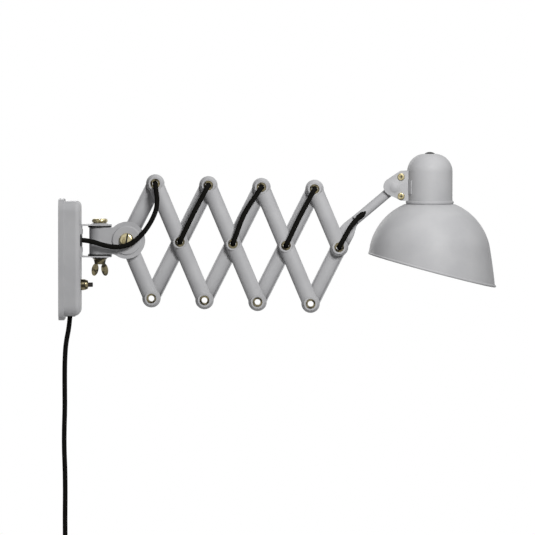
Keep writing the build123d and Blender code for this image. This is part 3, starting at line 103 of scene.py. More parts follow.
# --- shader nodes as expressions ----------------------------------------------------
class Value:
    """A number socket that can be used in Python arithmetic."""

    def __init__(self, graph: Graph, socket: bpy.types.NodeSocket) -> None:
        """Wraps one output socket of a graph."""
        self.graph = graph
        self.socket = socket

    def _math(self, operation: str, *others: Value | float) -> Value:
        """Adds one Math node with this value first."""
        inputs = dict(enumerate((self, *others)))
        return self.graph.node("ShaderNodeMath", {"operation": operation}, inputs)

    def __add__(self, other: Value | float) -> Value:
        """self + other."""
        return self._math("ADD", other)

    def __sub__(self, other: Value | float) -> Value:
        """self - other."""
        return self._math("SUBTRACT", other)

    def __rsub__(self, other: float) -> Value:
        """other - self."""
        return (self * -1.0) + other

    def __mul__(self, other: Value | float) -> Value:
        """self * other."""
        return self._math("MULTIPLY", other)

    def power(self, exponent: float) -> Value:
        """self to a power."""
        return self._math("POWER", exponent)

    def sine(self) -> Value:
        """The sine of self, in radians."""
        return self._math("SINE")

    def between(self, low: float, high: float) -> Value:
        """A smooth step from 0 at low to 1 at high."""
        return self.graph.node(
            "ShaderNodeMapRange",
            {"interpolation_type": "SMOOTHSTEP"},
            {"Value": self, "From Min": low, "From Max": high},
        )


class Graph:
    """The node tree of one material."""

    def __init__(self, name: str) -> None:
        """Starts a material with an empty tree and its output node."""
        self.material = bpy.data.materials.new(name)
        self.material.use_nodes = True
        self.tree = self.material.node_tree
        self.tree.nodes.clear()
        self.end = self.tree.nodes.new("ShaderNodeOutputMaterial")

    def node(
        self,
        kind: str,
        settings: dict[str, object] | None = None,
        inputs: dict[str | int, object] | None = None,
        output: str | int = 0,
    ) -> Value:
        """Adds a node, its settings first and then its inputs.

        Args:
            kind: the node's type name.
            settings: properties of the node, such as a Math node's operation.
            inputs: values or links, by the socket's name or number.
            output: the socket that is returned.

        Returns:
            The chosen output, ready for arithmetic or another node's input.
        """
        made = self.tree.nodes.new(kind)
        for key, setting in (settings or {}).items():
            setattr(made, key, setting)
        for key, item in (inputs or {}).items():
            self.plug(made.inputs[key], item)
        return Value(self, made.outputs[output])

    def plug(self, target: bpy.types.NodeSocket, item: object) -> None:
        """Links or sets one input socket."""
        if isinstance(item, Value):
            self.tree.links.new(item.socket, target)
        else:
            target.default_value = item

    def place(self) -> Value:
        """Object coordinates."""
        return self.node("ShaderNodeTexCoord", output="Object")

    def noise(self, scale: float, detail: float = 3.0, rough: float = 0.5) -> Value:
        """Noise on object coordinates, from 0 to 1."""
        inputs = {"Vector": self.place(), "Scale": scale, "Detail": detail, "Roughness": rough}
        return self.node("ShaderNodeTexNoise", None, inputs)

    def blend(self, amount: Value, low: Sequence[float], high: Sequence[float]) -> Value:
        """A colour from low to high as amount goes from 0 to 1."""
        made = self.tree.nodes.new("ShaderNodeMix")
        made.data_type = "RGBA"
        self.plug(made.inputs[0], amount)
        made.inputs[6].default_value = (*low, 1.0)
        made.inputs[7].default_value = (*high, 1.0)
        return Value(self, made.outputs[2])

    def bump(self, height: Value, distance: float, strength: float = 1.0) -> Value:
        """A normal bent by a height in units of distance."""
        inputs = {"Height": height, "Distance": distance, "Strength": strength}
        return self.node("ShaderNodeBump", None, inputs, "Normal")

    def finish(self, inputs: dict[str, object]) -> bpy.types.Material:
        """Closes the tree with a Principled shader and returns the material."""
        shader = self.node("ShaderNodeBsdfPrincipled", None, inputs)
        self.tree.links.new(shader.socket, self.end.inputs["Surface"])
        return self.material


# --- finishes -----------------------------------------------------------------------
@dataclass(frozen=True)
class Enamel:
    """Satin grey stove enamel on pressed steel."""

    colour: tuple[float, float, float] = (0.405, 0.405, 0.412)
    deep: tuple[float, float, float] = (0.368, 0.368, 0.377)
    roughness: float = 0.50
    spread: float = 0.12
    cloud_scale: float = 22.0
    wave_scale: float = 90.0
    peel_scale: float = 620.0
    peel_height: float = 0.00006

    def make(self) -> bpy.types.Material:
        """Builds the enamel with faint clouding and orange peel."""
        graph = Graph("grey enamel")
        cloud = graph.noise(self.cloud_scale, 4.0).between(0.3, 0.7)
        peel = graph.noise(self.peel_scale, 2.0)
        wave = graph.noise(self.wave_scale)
        return graph.finish(
            {
                "Base Color": graph.blend(cloud, self.deep, self.colour),
                "Roughness": wave * self.spread + (self.roughness - self.spread / 2.0),
                "Specular IOR Level": 0.15,
                "Normal": graph.bump(peel + wave * 0.8, self.peel_height, 0.55),
            }
        )


@dataclass(frozen=True)
class AgedBrass:
    """Turned and pressed brass, dulled by handling."""

    name: str
    bright: tuple[float, float, float]
    dull: tuple[float, float, float]
    roughness: float = 0.22
    dulling: float = 0.22
    spread: float = 0.08
    patch_scale: float = 130.0
    mark_scale: float = 1500.0
    mark_height: float = 0.000008

    def make(self) -> bpy.types.Material:
        """Builds the brass with dull patches and fine handling marks."""
        graph = Graph(self.name)
        patch = graph.noise(self.patch_scale, 5.0, 0.6).between(0.42, 0.6)
        marks = graph.noise(self.mark_scale)
        polished = self.roughness - self.spread / 2.0
        return graph.finish(
            {
                "Base Color": graph.blend(patch, self.bright, self.dull),
                "Metallic": 1.0,
                "Roughness": patch * self.dulling + marks * self.spread + polished,
                "Normal": graph.bump(marks, self.mark_height, 0.4),
            }
        )


@dataclass(frozen=True)
class Moulded:
    """A moulded rubber or resin finish."""

    name: str
    colour: tuple[float, float, float]
    dusty: tuple[float, float, float]
    roughness: float
    grain_scale: float
    grain_height: float = 0.00005
    dust_scale: float = 75.0
    dust_roughness: float = 0.15

    def make(self) -> bpy.types.Material:
        """Builds the moulding with a fine grain and a little dust."""
        graph = Graph(self.name)
        dust = graph.noise(self.dust_scale, 5.0, 0.6).between(0.45, 0.8)
        grain = graph.noise(self.grain_scale, 2.0)
        return graph.finish(
            {
                "Base Color": graph.blend(dust, self.colour, self.dusty),
                "Roughness": dust * self.dust_roughness + self.roughness,
                "Specular IOR Level": 0.22,
                "Normal": graph.bump(grain, self.grain_height, 0.5),
            }
        )


@dataclass(frozen=True)
class Plating:
    """Dull zinc plating on sheet and small steel parts."""

    colour: tuple[float, float, float] = (0.56, 0.56, 0.55)
    spot: tuple[float, float, float] = (0.40, 0.40, 0.41)
    roughness: float = 0.38
    spread: float = 0.2
    spangle_scale: float = 260.0

    def make(self) -> bpy.types.Material:
        """Builds the plating with its spangle."""
        graph = Graph("zinc plating")
        inputs = {"Vector": graph.place(), "Scale": self.spangle_scale}
        spangle = graph.node("ShaderNodeTexVoronoi", None, inputs, "Distance")
        return graph.finish(
            {
                "Base Color": graph.blend(spangle, self.colour, self.spot),
                "Metallic": 1.0,
                "Roughness": spangle * self.spread + self.roughness,
            }
        )


@dataclass(frozen=True)
class Braid:
    """Black braided cotton over a round lead, drawn on the cord's own UV map."""

    thread: tuple[float, float, float] = (0.0125, 0.0120, 0.0108)
    gap: tuple[float, float, float] = (0.0012, 0.0012, 0.0012)
    carriers: float = 10.0
    crossing: float = 0.12
    fuzz_scale: float = 2600.0
    fuzz: float = 0.3
    relief: float = 0.00028

    def make(self) -> bpy.types.Material:
        """Builds the braid from two crossing sets of strands."""
        graph = Graph("braided cotton")
        uv = graph.node("ShaderNodeUVMap", {"uv_map": "UVMap"})
        split = graph.tree.nodes.new("ShaderNodeSeparateXYZ")
        graph.plug(split.inputs[0], uv)
        around, along = Value(graph, split.outputs[0]), Value(graph, split.outputs[1])
        turn = math.pi * self.carriers
        left = ((around + along) * turn).sine()
        right = ((around - along) * turn).sine()
        over = (left * right).between(-self.crossing, self.crossing)
        strand = over * (1.0 - left * left) + (1.0 - over) * (1.0 - right * right)
        height = strand.power(0.5) + graph.noise(self.fuzz_scale, 2.0) * self.fuzz
        return graph.finish(
            {
                "Base Color": graph.blend(strand.between(0.0, 0.55), self.gap, self.thread),
                "Roughness": 1.0,
                "Normal": graph.bump(height, self.relief, 0.9),
                "Specular IOR Level": 0.0,
            }
        )


@dataclass
class Palette:
    """Every finish, made once and handed out by slot."""

    materials: dict[Slot, bpy.types.Material] = field(default_factory=dict)
    # brass parts with these name starts get a darker copy of the same brass: painted dark
    # reflection
    reflection_darkened: tuple[str, ...] = ("rivets_", "wing_nut", "switch_collar")
    painted_reflection_brass: bpy.types.Material | None = None

    def make(self) -> None:
        """Builds each slot's material."""
        rubber = Moulded("black rubber", (0.010, 0.010, 0.010), (0.03, 0.03, 0.03), 0.5, 900.0)
        brass = AgedBrass("aged brass", (0.50, 0.44, 0.27), (0.20, 0.17, 0.09))
        # a darker copy of the same brass, painting in dark reflections; it is not a different
        # metal or tarnish
        reflection_brass_finish = AgedBrass("browned brass", (0.185, 0.16, 0.095), (0.022, 0.019, 0.013))
        self.painted_reflection_brass = reflection_brass_finish.make()
        resin = Moulded("dark resin", (0.010, 0.008, 0.007), (0.03, 0.027, 0.024), 0.34, 240.0)
        self.materials = {
            Slot.PAINT: Enamel().make(),
            Slot.BRASS: brass.make(),
            Slot.RUBBER: rubber.make(),
            Slot.BRAID: Braid().make(),
            Slot.PLASTIC: resin.make(),
            Slot.PLATED: Plating().make(),
        }

    def dress(self, piece: bpy.types.Object, slot: Slot) -> None:
        """Gives a piece one slot's finish.

        Args:
            piece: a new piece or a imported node.
            slot: the finish it takes.
        """
        # painted reflection: the listed brass parts take the darker copy of the brass
        reflection_darkened = slot is Slot.BRASS and piece.name.startswith(self.reflection_darkened)
        piece.data.materials.clear()
        piece.data.materials.append(self.painted_reflection_brass if reflection_darkened else self.materials[slot])


# --- geometry node trees ------------------------------------------------------------
class Recipe:
    """A geometry node tree with named inputs, run once and turned into a plain mesh."""

    def __init__(self, name: str) -> None:
        """Starts an empty tree."""
        self.tree = bpy.data.node_groups.new(name, "GeometryNodeTree")
        for way in ("INPUT", "OUTPUT"):
            kind = "NodeSocketGeometry"
            self.tree.interface.new_socket("Geometry", in_out=way, socket_type=kind)
        self.start = self.tree.nodes.new("NodeGroupInput")
        self.end = self.tree.nodes.new("NodeGroupOutput")
        self.values: dict[str, object] = {}

    def size(self, name: str, value: float, whole: bool = False) -> bpy.types.NodeSocket:
        """Adds a named input with its value and returns its socket inside the tree."""
        kind = "NodeSocketInt" if whole else "NodeSocketFloat"
        item = self.tree.interface.new_socket(name, in_out="INPUT", socket_type=kind)
        self.values[item.identifier] = value
        return self.start.outputs[name]

    def node(
        self, kind: str, settings: dict[str, object], inputs: dict[str | int, object]
    ) -> bpy.types.Node:
        """Adds a node, its settings first and then its inputs."""
        made = self.tree.nodes.new(kind)
        for key, setting in settings.items():
            setattr(made, key, setting)
        for key, item in inputs.items():
            if isinstance(item, bpy.types.NodeSocket):
                self.tree.links.new(item, made.inputs[key])
            else:
                made.inputs[key].default_value = item
        return made

    def move(self, geometry: bpy.types.NodeSocket, place: object) -> bpy.types.NodeSocket:
        """Moves geometry by a fixed or a computed distance."""
        inputs = {"Geometry": geometry, "Translation": place}
        return self.node("GeometryNodeTransform", {}, inputs).outputs[0]

    def close(self, geometry: bpy.types.NodeSocket, material: bpy.types.Material) -> None:
        """Ends the tree in Realize Instances and Set Material."""
        real = self.node("GeometryNodeRealizeInstances", {}, {"Geometry": geometry})
        inputs = {"Geometry": real.outputs[0], "Material": material}
        dressed = self.node("GeometryNodeSetMaterial", {}, inputs)
        self.tree.links.new(dressed.outputs[0], self.end.inputs[0])

    def run(self, name: str) -> bpy.types.Object:
        """Runs the tree on an empty mesh and returns the result as a plain piece."""
        carrier = link_new(name + "_carrier", bpy.data.meshes.new(name + "_empty"))
        modifier = carrier.modifiers.new("recipe", "NODES")
        modifier.node_group = self.tree
        for identifier, value in self.values.items():
            modifier[identifier] = value
        bpy.context.view_layer.update()
        graph = bpy.context.evaluated_depsgraph_get()
        mesh = bpy.data.meshes.new_from_object(carrier.evaluated_get(graph))
        carrier.modifiers.remove(modifier)
        bpy.data.objects.remove(carrier)
        return add_piece(name, mesh)


def smooth_recipe() -> bpy.types.NodeTree:
    """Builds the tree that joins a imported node's triangles and rounds its shading."""
    recipe = Recipe("round shading")
    inputs = {0: recipe.start.outputs[0], "Name": "custom_normal"}
    clean = recipe.node("GeometryNodeRemoveAttribute", {}, inputs)
    inputs = {0: clean.outputs[0], "Distance": WELD_DISTANCE}
    merge = recipe.node("GeometryNodeMergeByDistance", {}, inputs)
    inputs = {0: merge.outputs[0]}
    smooth = recipe.node("GeometryNodeSetShadeSmooth", {"domain": "FACE"}, inputs)
    angle = recipe.node("GeometryNodeInputMeshEdgeAngle", {}, {})
    settings = {"data_type": "FLOAT", "operation": "GREATER_THAN"}
    inputs = {0: angle.outputs[0], 1: CREASE_ANGLE}
    sharp = recipe.node("FunctionNodeCompare", settings, inputs)
    inputs = {0: smooth.outputs[0], "Selection": sharp.outputs[0], "Shade Smooth": False}
    crease = recipe.node("GeometryNodeSetShadeSmooth", {"domain": "EDGE"}, inputs)
    recipe.tree.links.new(crease.outputs[0], recipe.end.inputs[0])
    return recipe.tree


def link_new(name: str, data: bpy.types.ID) -> bpy.types.Object:
    """Makes an object for its data and links it to the scene."""
    made = bpy.data.objects.new(name, data)
    bpy.context.scene.collection.objects.link(made)
    return made


def take_mesh(shape: bmesh.types.BMesh, name: str) -> bpy.types.Mesh:
    """Turns a working shape into a mesh and frees the shape."""
    mesh = bpy.data.meshes.new(name)
    shape.to_mesh(mesh)
    shape.free()
    return mesh


def add_piece(name: str, mesh: bpy.types.Mesh) -> bpy.types.Object:
    """Links a mesh to the scene as an object at the origin."""
    mesh.name = name
    return link_new(name, mesh)


# --- cords --------------------------------------------------------------------------
@dataclass
class Route:
    """A cord's given points and the smooth line that they control."""

    name: str
    points: Sequence[Point]
    resolution: int = 24

    def line(self) -> list[Vector]:
        """Reads the smooth line of the route's NURBS spline.

        Returns:
            Points close together along the line, from its start to its end.
        """
        curve = bpy.data.curves.new(self.name + "_route", "CURVE")
        curve.dimensions = "3D"
        curve.resolution_u = self.resolution
        spline = curve.splines.new("NURBS")
        spline.points.add(len(self.points) - 1)
        for knot, place in zip(spline.points, self.points):
            knot.co = (*place, 1.0)
        spline.order_u = 3
        spline.use_endpoint_u = True
        carrier = link_new(self.name + "_route", curve)
        bpy.context.view_layer.update()
        graph = bpy.context.evaluated_depsgraph_get()
        mesh = bpy.data.meshes.new_from_object(carrier.evaluated_get(graph))
        line = [vertex.co.copy() for vertex in mesh.vertices]
        bpy.data.objects.remove(carrier)
        bpy.data.curves.remove(curve)
        bpy.data.meshes.remove(mesh)
        return line


def even_line(line: Sequence[Vector], step: float) -> list[Vector]:
    """Walks a line and leaves a point at every step, both ends included.

    Args:
        line: points close together.
        step: the distance between the points that are returned.

    Returns:
        Evenly spaced points on the line.
    """
    lengths = [0.0]
    for before, after in zip(line, line[1:]):
        lengths.append(lengths[-1] + (after - before).length)
    count = max(2, round(lengths[-1] / step))
    places, index = [], 0
    for number in range(count + 1):
        reach = lengths[-1] * number / count
        while index < len(line) - 2 and lengths[index + 1] < reach:
            index += 1
        span = lengths[index + 1] - lengths[index] or 1.0
        places.append(line[index].lerp(line[index + 1], (reach - lengths[index]) / span))
    return places


@dataclass
class BraidedTube:
    """The round lead with its braid, as a mesh tube with a UV map along it."""

    radius: float = 0.0040
    sides: int = 16
    step: float = 0.0016

    def make(self, name: str, line: Sequence[Vector]) -> bpy.types.Object:
        """Builds the tube along a line.

        Args:
            name: the piece's name.
            line: the centre line's points.

        Returns:
            The tube, closed at both ends.
        """
        places = even_line(line, self.step)
        shape = bmesh.new()
        layer = shape.loops.layers.uv.new("UVMap")
        behind, ahead = places[:1] + places[:-1], places[1:] + places[-1:]
        ways = [(after - before).normalized() for before, after in zip(behind, ahead)]
        side = ways[0].orthogonal().normalized()
        rings = []
        for place, way in zip(places, ways):
            side = (side - way * side.dot(way)).normalized()
            other = way.cross(side)
            ring = []
            for corner in range(self.sides):
                angle = 2.0 * math.pi * corner / self.sides
                outward = side * math.cos(angle) + other * math.sin(angle)
                ring.append(shape.verts.new(place + outward * self.radius))
            rings.append(ring)
        around = 2.0 * math.pi * self.radius
        for row, (ring, following) in enumerate(zip(rings, rings[1:])):
            for corner in range(self.sides):
                after = (corner + 1) % self.sides
                quad = (ring[corner], ring[after], following[after], following[corner])
                face = shape.faces.new(quad)
                face.smooth = True
                steps = ((0, 0), (1, 0), (1, 1), (0, 1))
                for loop, (aside, onward) in zip(face.loops, steps):
                    along = (row + onward) * self.step / around
                    loop[layer].uv = ((corner + aside) / self.sides, along)
        shape.faces.new(list(reversed(rings[0])))
        shape.faces.new(rings[-1])
        return add_piece(name, take_mesh(shape, name))


@dataclass
class ScissorRow:
    """Where the scissor's pivots stand."""

    first: Point = (0.1115, 0.0, 0.0317)
    link: float = 0.1044
    opening: float = math.radians(65.2)
    droop: float = math.radians(1.94)
    diamonds: int = 4

    def place(self, along: float, up: float) -> Vector:
        """A point by its distance along the row and above it."""
        forward = Vector((math.cos(self.droop), 0.0, -math.sin(self.droop)))
        upward = Vector((math.sin(self.droop), 0.0, math.cos(self.droop)))
        return Vector(self.first) + forward * along + upward * up

    def middle(self, number: int) -> Vector:
        """The number-th pivot of the middle row."""
        return self.place(number * 2.0 * self.link * math.cos(self.opening), 0.0)

    def upper(self, number: int) -> Vector:
        """The number-th pivot of the upper row, from 1."""
        along = (number - 0.5) * 2.0 * self.link * math.cos(self.opening)
        return self.place(along, self.link * math.sin(self.opening))


@dataclass
class ArmCord:
    """The braided cord from the wall box along the arm to the lampholder."""

    row: ScissorRow
    palette: Palette
    tube: BraidedTube = field(default_factory=BraidedTube)
    beside: float = 0.0166
    corner: float = 0.016
    lean: float = 0.0010
    shoulder: float = 0.3
    rear_bow: float = 0.0012
    bows: dict[int, float] = field(default_factory=lambda: {1: 0.0012, 2: 0.0065, 3: 0.0016})
    loop: tuple[Point, ...] = (
        (0.0314, -0.0295, 0.0326),
        (0.0485, -0.0295, 0.0326),
        (0.0830, -0.0304, 0.0208),
        (0.1120, -0.0308, 0.0216),
        (0.1345, -0.0298, 0.0375),
        (0.1525, -0.0250, 0.0620),
        (0.1635, -0.0195, 0.0900),
    )
    to_tube: tuple[Point, ...] = ((0.4695, -0.0166, 0.0350), (0.4840, -0.0155, 0.0605))
    ball: Point = (0.5531, 0.0, 0.1186)
    on_axis: tuple[float, float, float] = (-0.0620, 0.0166, 0.0516)
    neck_turn: float = 0.0086
    neck_end: float = 0.1260

    def build(self) -> None:
        """Builds every run of the cord."""
        self._loop()
        for number in range(1, self.row.diamonds + 1):
            middle, upper = self.row.middle(number), self.row.upper(number)
            self._threaded(f"rear_cord_{number}", upper, middle, 1.0, self.rear_bow)
            if number < self.row.diamonds:
                following = self.row.upper(number + 1)
                name = f"front_cord_{number}"
                self._threaded(name, middle, following, -1.0, self.bows[number])
        self._to_lamp()

    def _finish(self, node: str, points: Sequence[Point]) -> bpy.types.Object:
        """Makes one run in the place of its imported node."""
        piece = self.tube.make(node + "_braid", Route(node, points).line())
        self.palette.dress(piece, Slot.BRAID)
        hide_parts(node)
        log.info("cord run %s", node)
        return piece

    def _loop(self) -> None:
        """The free loop past the hinge, one piece for each joint that bends it."""
        loop, end = self.loop, self.row.upper(1)
        first = tuple((a + b) / 2.0 for a, b in zip(loop[2], loop[3]))
        second = tuple((a + b) / 2.0 for a, b in zip(loop[4], loop[5]))
        last = ((end.x, -self.beside, end.z), (end.x, 0.0, end.z))
        runs = (
            ("loop_cord_wall", (*loop[:3], first), "wall_unit", "knuckle"),
            ("loop_cord_knuckle", (first, *loop[3:5], second), "knuckle", "main_pivot"),
            ("loop_cord_arm", (second, *loop[5:], *last), "main_pivot", "rear_0"),
        )
        for node, points, near, far in runs:
            piece = self._finish(node, points)
            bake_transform(piece)

    def _threaded(self, node: str, start: Vector, end: Vector, side: float, bow: float) -> None:
        """A run beside an arm, from the bore of one rivet to the bore of another."""
        way = (end - start).normalized()
        across = Vector((way.z, 0.0, -way.x)) * -bow
        out = Vector((0.0, side * self.beside, 0.0))
        middle = (start + end) * 0.5 + across + out
        places = [
            start - way * self.lean,
            start - way * self.lean + out,
            start + out + way * self.corner + across * self.shoulder,
            middle,
            end + out - way * self.corner + across * self.shoulder,
            end + way * self.lean + out,
            end + way * self.lean,
        ]
        piece = self._finish(node, [tuple(place) for place in places])
        number = int(node[-1])
        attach(piece, f"front_{number}" if side > 0 else f"rear_{number}")

    def _to_lamp(self) -> None:
        """The run into the lamp tube, and the run from the ball to the lampholder."""
        last = self.row.middle(self.row.diamonds)
        start = ((last.x, 0.0, last.z), (last.x, -self.beside, last.z))
        axis = Vector((math.cos(TUBE_ANGLE), 0.0, math.sin(TUBE_ANGLE)))
        entry, leave, turn = (tuple(Vector(self.ball) + axis * reach) for reach in self.on_axis)
        piece = self._finish("lamp_cord", (*start, *self.to_tube, entry, leave))
        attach(piece, "lamp_arm")
        down = ((SHADE_X, 0.0, turn[2] - self.neck_turn), (SHADE_X, 0.0, self.neck_end))
        piece = self._finish("neck_cord", (leave, turn, *down))
        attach(piece, "shade")


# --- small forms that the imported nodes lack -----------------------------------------
@dataclass
class ArmEnd:
    """The pressed face that closes the lamp arm between its last pivot and the tube."""

    row: ScissorRow
    palette: Palette
    near: float = 0.011
    straight: float = 0.026
    half_width: float = 0.0131
    tube_half: float = 0.0077
    seam: Point = (0.4889, 0.0, 0.0647)
    face: float = 0.00055
    crown: float = 0.0009
    thickness: float = 0.0006
    rows: int = 16
    columns: int = 10

    def _edge(self, side: float) -> list[Vector]:
        """The face's outline on one side, from the pivot to the tube."""
        opening = self.row.opening
        way = self.row.place(math.cos(opening), math.sin(opening)) - self.row.place(0.0, 0.0)
        tube = Vector((math.cos(TUBE_ANGLE), 0.0, math.sin(TUBE_ANGLE)))
        across, aside = Vector((way.z, 0.0, -way.x)), Vector((tube.z, 0.0, -tube.x))
        pivot = self.row.middle(self.row.diamonds) + across * (side * self.half_width)
        start = pivot + way * self.straight
        end = Vector(self.seam) + aside * (side * self.tube_half)
        reach = (end - start).length / 3.0
        handles = (start + way * reach, end - tube * reach)
        curve = interpolate_bezier(start, *handles, end, self.rows)
        return [pivot + way * self.near, *curve]

    def build(self) -> None:
        """Builds the face as a thin crowned sheet that turns with the lamp arm."""
        shape = bmesh.new()
        grid = []
        for left, right in zip(self._edge(-1.0), self._edge(1.0)):
            line = []
            for column in range(self.columns + 1):
                share = column / self.columns
                place = left.lerp(right, share)
                place.y = self.face - self.crown * 4.0 * share * (1.0 - share)
                line.append(shape.verts.new(place))
            grid.append(line)
        for low, high in zip(grid, grid[1:]):
            for column in range(self.columns):
                shape.faces.new((low[column], low[column + 1], high[column + 1], high[column]))
        grown = bmesh.ops.extrude_face_region(shape, geom=list(shape.faces))
        behind = [item for item in grown["geom"] if isinstance(item, bmesh.types.BMVert)]
        bmesh.ops.translate(shape, verts=behind, vec=(0.0, self.thickness, 0.0))
        bmesh.ops.recalc_face_normals(shape, faces=shape.faces)
        piece = add_piece("lamp_arm_face", take_mesh(shape, "lamp_arm_face"))
        piece.data.shade_smooth()
        self.palette.dress(piece, Slot.PAINT)
        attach(piece, "lamp_arm")


@dataclass(frozen=True)
class HeadCut:
    """One cut in a screw's head, whose floor gets a strip of painted shade."""

    node: str
    body: str
    x: float
    z: float
    depth: float
    width: float
    length: float
    turns: tuple[float, ...]


@dataclass
class SlotShadeStrips:
    """Dark strips of painted shade on the floors of the screw slots that face the room."""

    palette: Palette
    frame: dict[str, object]
    thickness: float = 0.00012
    cuts: tuple[HeadCut, ...] = (
        HeadCut("main_screw", "main_pivot", 0.1115, 0.0317, 0.0024, 0.0025, 0.0220, (10.0,)),
        HeadCut("clamp_screws", "shade", 0.5635, 0.1361, 0.0013, 0.0013, 0.0058, (0.0, 90.0)),
        HeadCut("clamp_screws", "shade", 0.5635, 0.1042, 0.0013, 0.0013, 0.0058, (0.0, 90.0)),
    )

    def build(self) -> None:
        """Lays a thin dark strip of painted shade on the floor of every cut."""
        for number, cut in enumerate(self.cuts):
            crown = min(vertex.co.y for vertex in self.frame["nodes"][cut.node].data.vertices)
            shape = bmesh.new()
            for turn in cut.turns:
                place = (
                    Matrix.Translation((cut.x, crown + cut.depth, cut.z))
                    @ Matrix.Rotation(math.radians(turn), 4, "Y")
                    @ Matrix.Diagonal((cut.width, self.thickness, cut.length, 1.0))
                )
                # painted shade: a thin black box where the slot's walls would shade its floor
                bmesh.ops.create_cube(shape, size=1.0, matrix=place)
            name = f"{cut.node}_dirt_{number}"
            piece = add_piece(name, take_mesh(shape, name))
            # the black rubber finish here is only painted shade, not a part of the screw
            self.palette.dress(piece, Slot.RUBBER)
            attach(piece, cut.body)


# --- mains lead and plug ------------------------------------------------------------
@dataclass
class MainsLead:
    """The lead that hangs from the box, its put-away coil, and its plug."""

    palette: Palette
    tube: BraidedTube = field(default_factory=BraidedTube)
    length: float = 1.83
    inner_radius: float = 0.025
    half_turns: int = 6
    rise: float = 0.0044
    layer: float = 0.0042
    left: float = 0.0090
    centre_z: float = -0.518
    stops: int = 8
    bend: float = 0.004
    tail: float = 0.040
    hanging: tuple[Point, ...] = (
        (0.0180, 0.0, -0.0870),
        (0.0166, 0.0, -0.1100),
        (0.0106, 0.0003, -0.1380),
        (0.0088, 0.0000, -0.1680),
        (0.0086, -0.0005, -0.2050),
        (0.0090, -0.0008, -0.2450),
        (0.0078, -0.0004, -0.2800),
        (0.0076, 0.0003, -0.3120),
        (0.0090, 0.0009, -0.3480),
        (0.0093, 0.0017, -0.3860),
        (0.0088, 0.0030, -0.4260),
        (0.0090, 0.0042, -0.4640),
        (0.0090, 0.0042, -0.5020),
    )

    def coil(self) -> list[Point]:
        """The coil's points: in on one layer, across at the middle, out on the other.

        Returns:
            Points at even angles, a little outside the turns that the spline makes.
        """
        outer = self.inner_radius + self.half_turns * self.rise
        centre_x = self.left + outer
        spread = 1.0 / math.cos(math.pi / (2 * self.stops))
        last = 2 * self.half_turns
        points = []
        for stop in range(1, last * self.stops):
            step = stop / self.stops
            inward = min(step, self.half_turns)
            outward = max(step - self.half_turns - 1.0, 0.0)
            radius = (outer - inward * self.rise + outward * self.rise) * spread
            crossing = min(max(step - self.half_turns, 0.0), 1.0)
            swing = crossing * crossing * (3.0 - 2.0 * crossing)
            angle = math.pi * (1.0 + step)
            x, z = centre_x + radius * math.cos(angle), self.centre_z + radius * math.sin(angle)
            points.append((x, self.layer * (1.0 - 2.0 * swing), z))
        end_radius = self.inner_radius + (self.half_turns - 1) * self.rise
        end_x = centre_x - end_radius
        for drop in (self.bend, self.tail):
            points.append((end_x, -self.layer, self.centre_z - drop))
        return points

    def build(self) -> None:
        line = Route("mains_lead", [*self.hanging, *self.coil()], 12).line()
        piece = self.tube.make("mains_lead_braid", line)
        self.palette.dress(piece, Slot.BRAID)
        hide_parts("mains_cord", "mains_cord_coil")
        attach(piece, "wall_unit")
        plug = MouldedPlug(self.palette, line[-1]).build()
        log.info("mains lead, %d points", len(line))


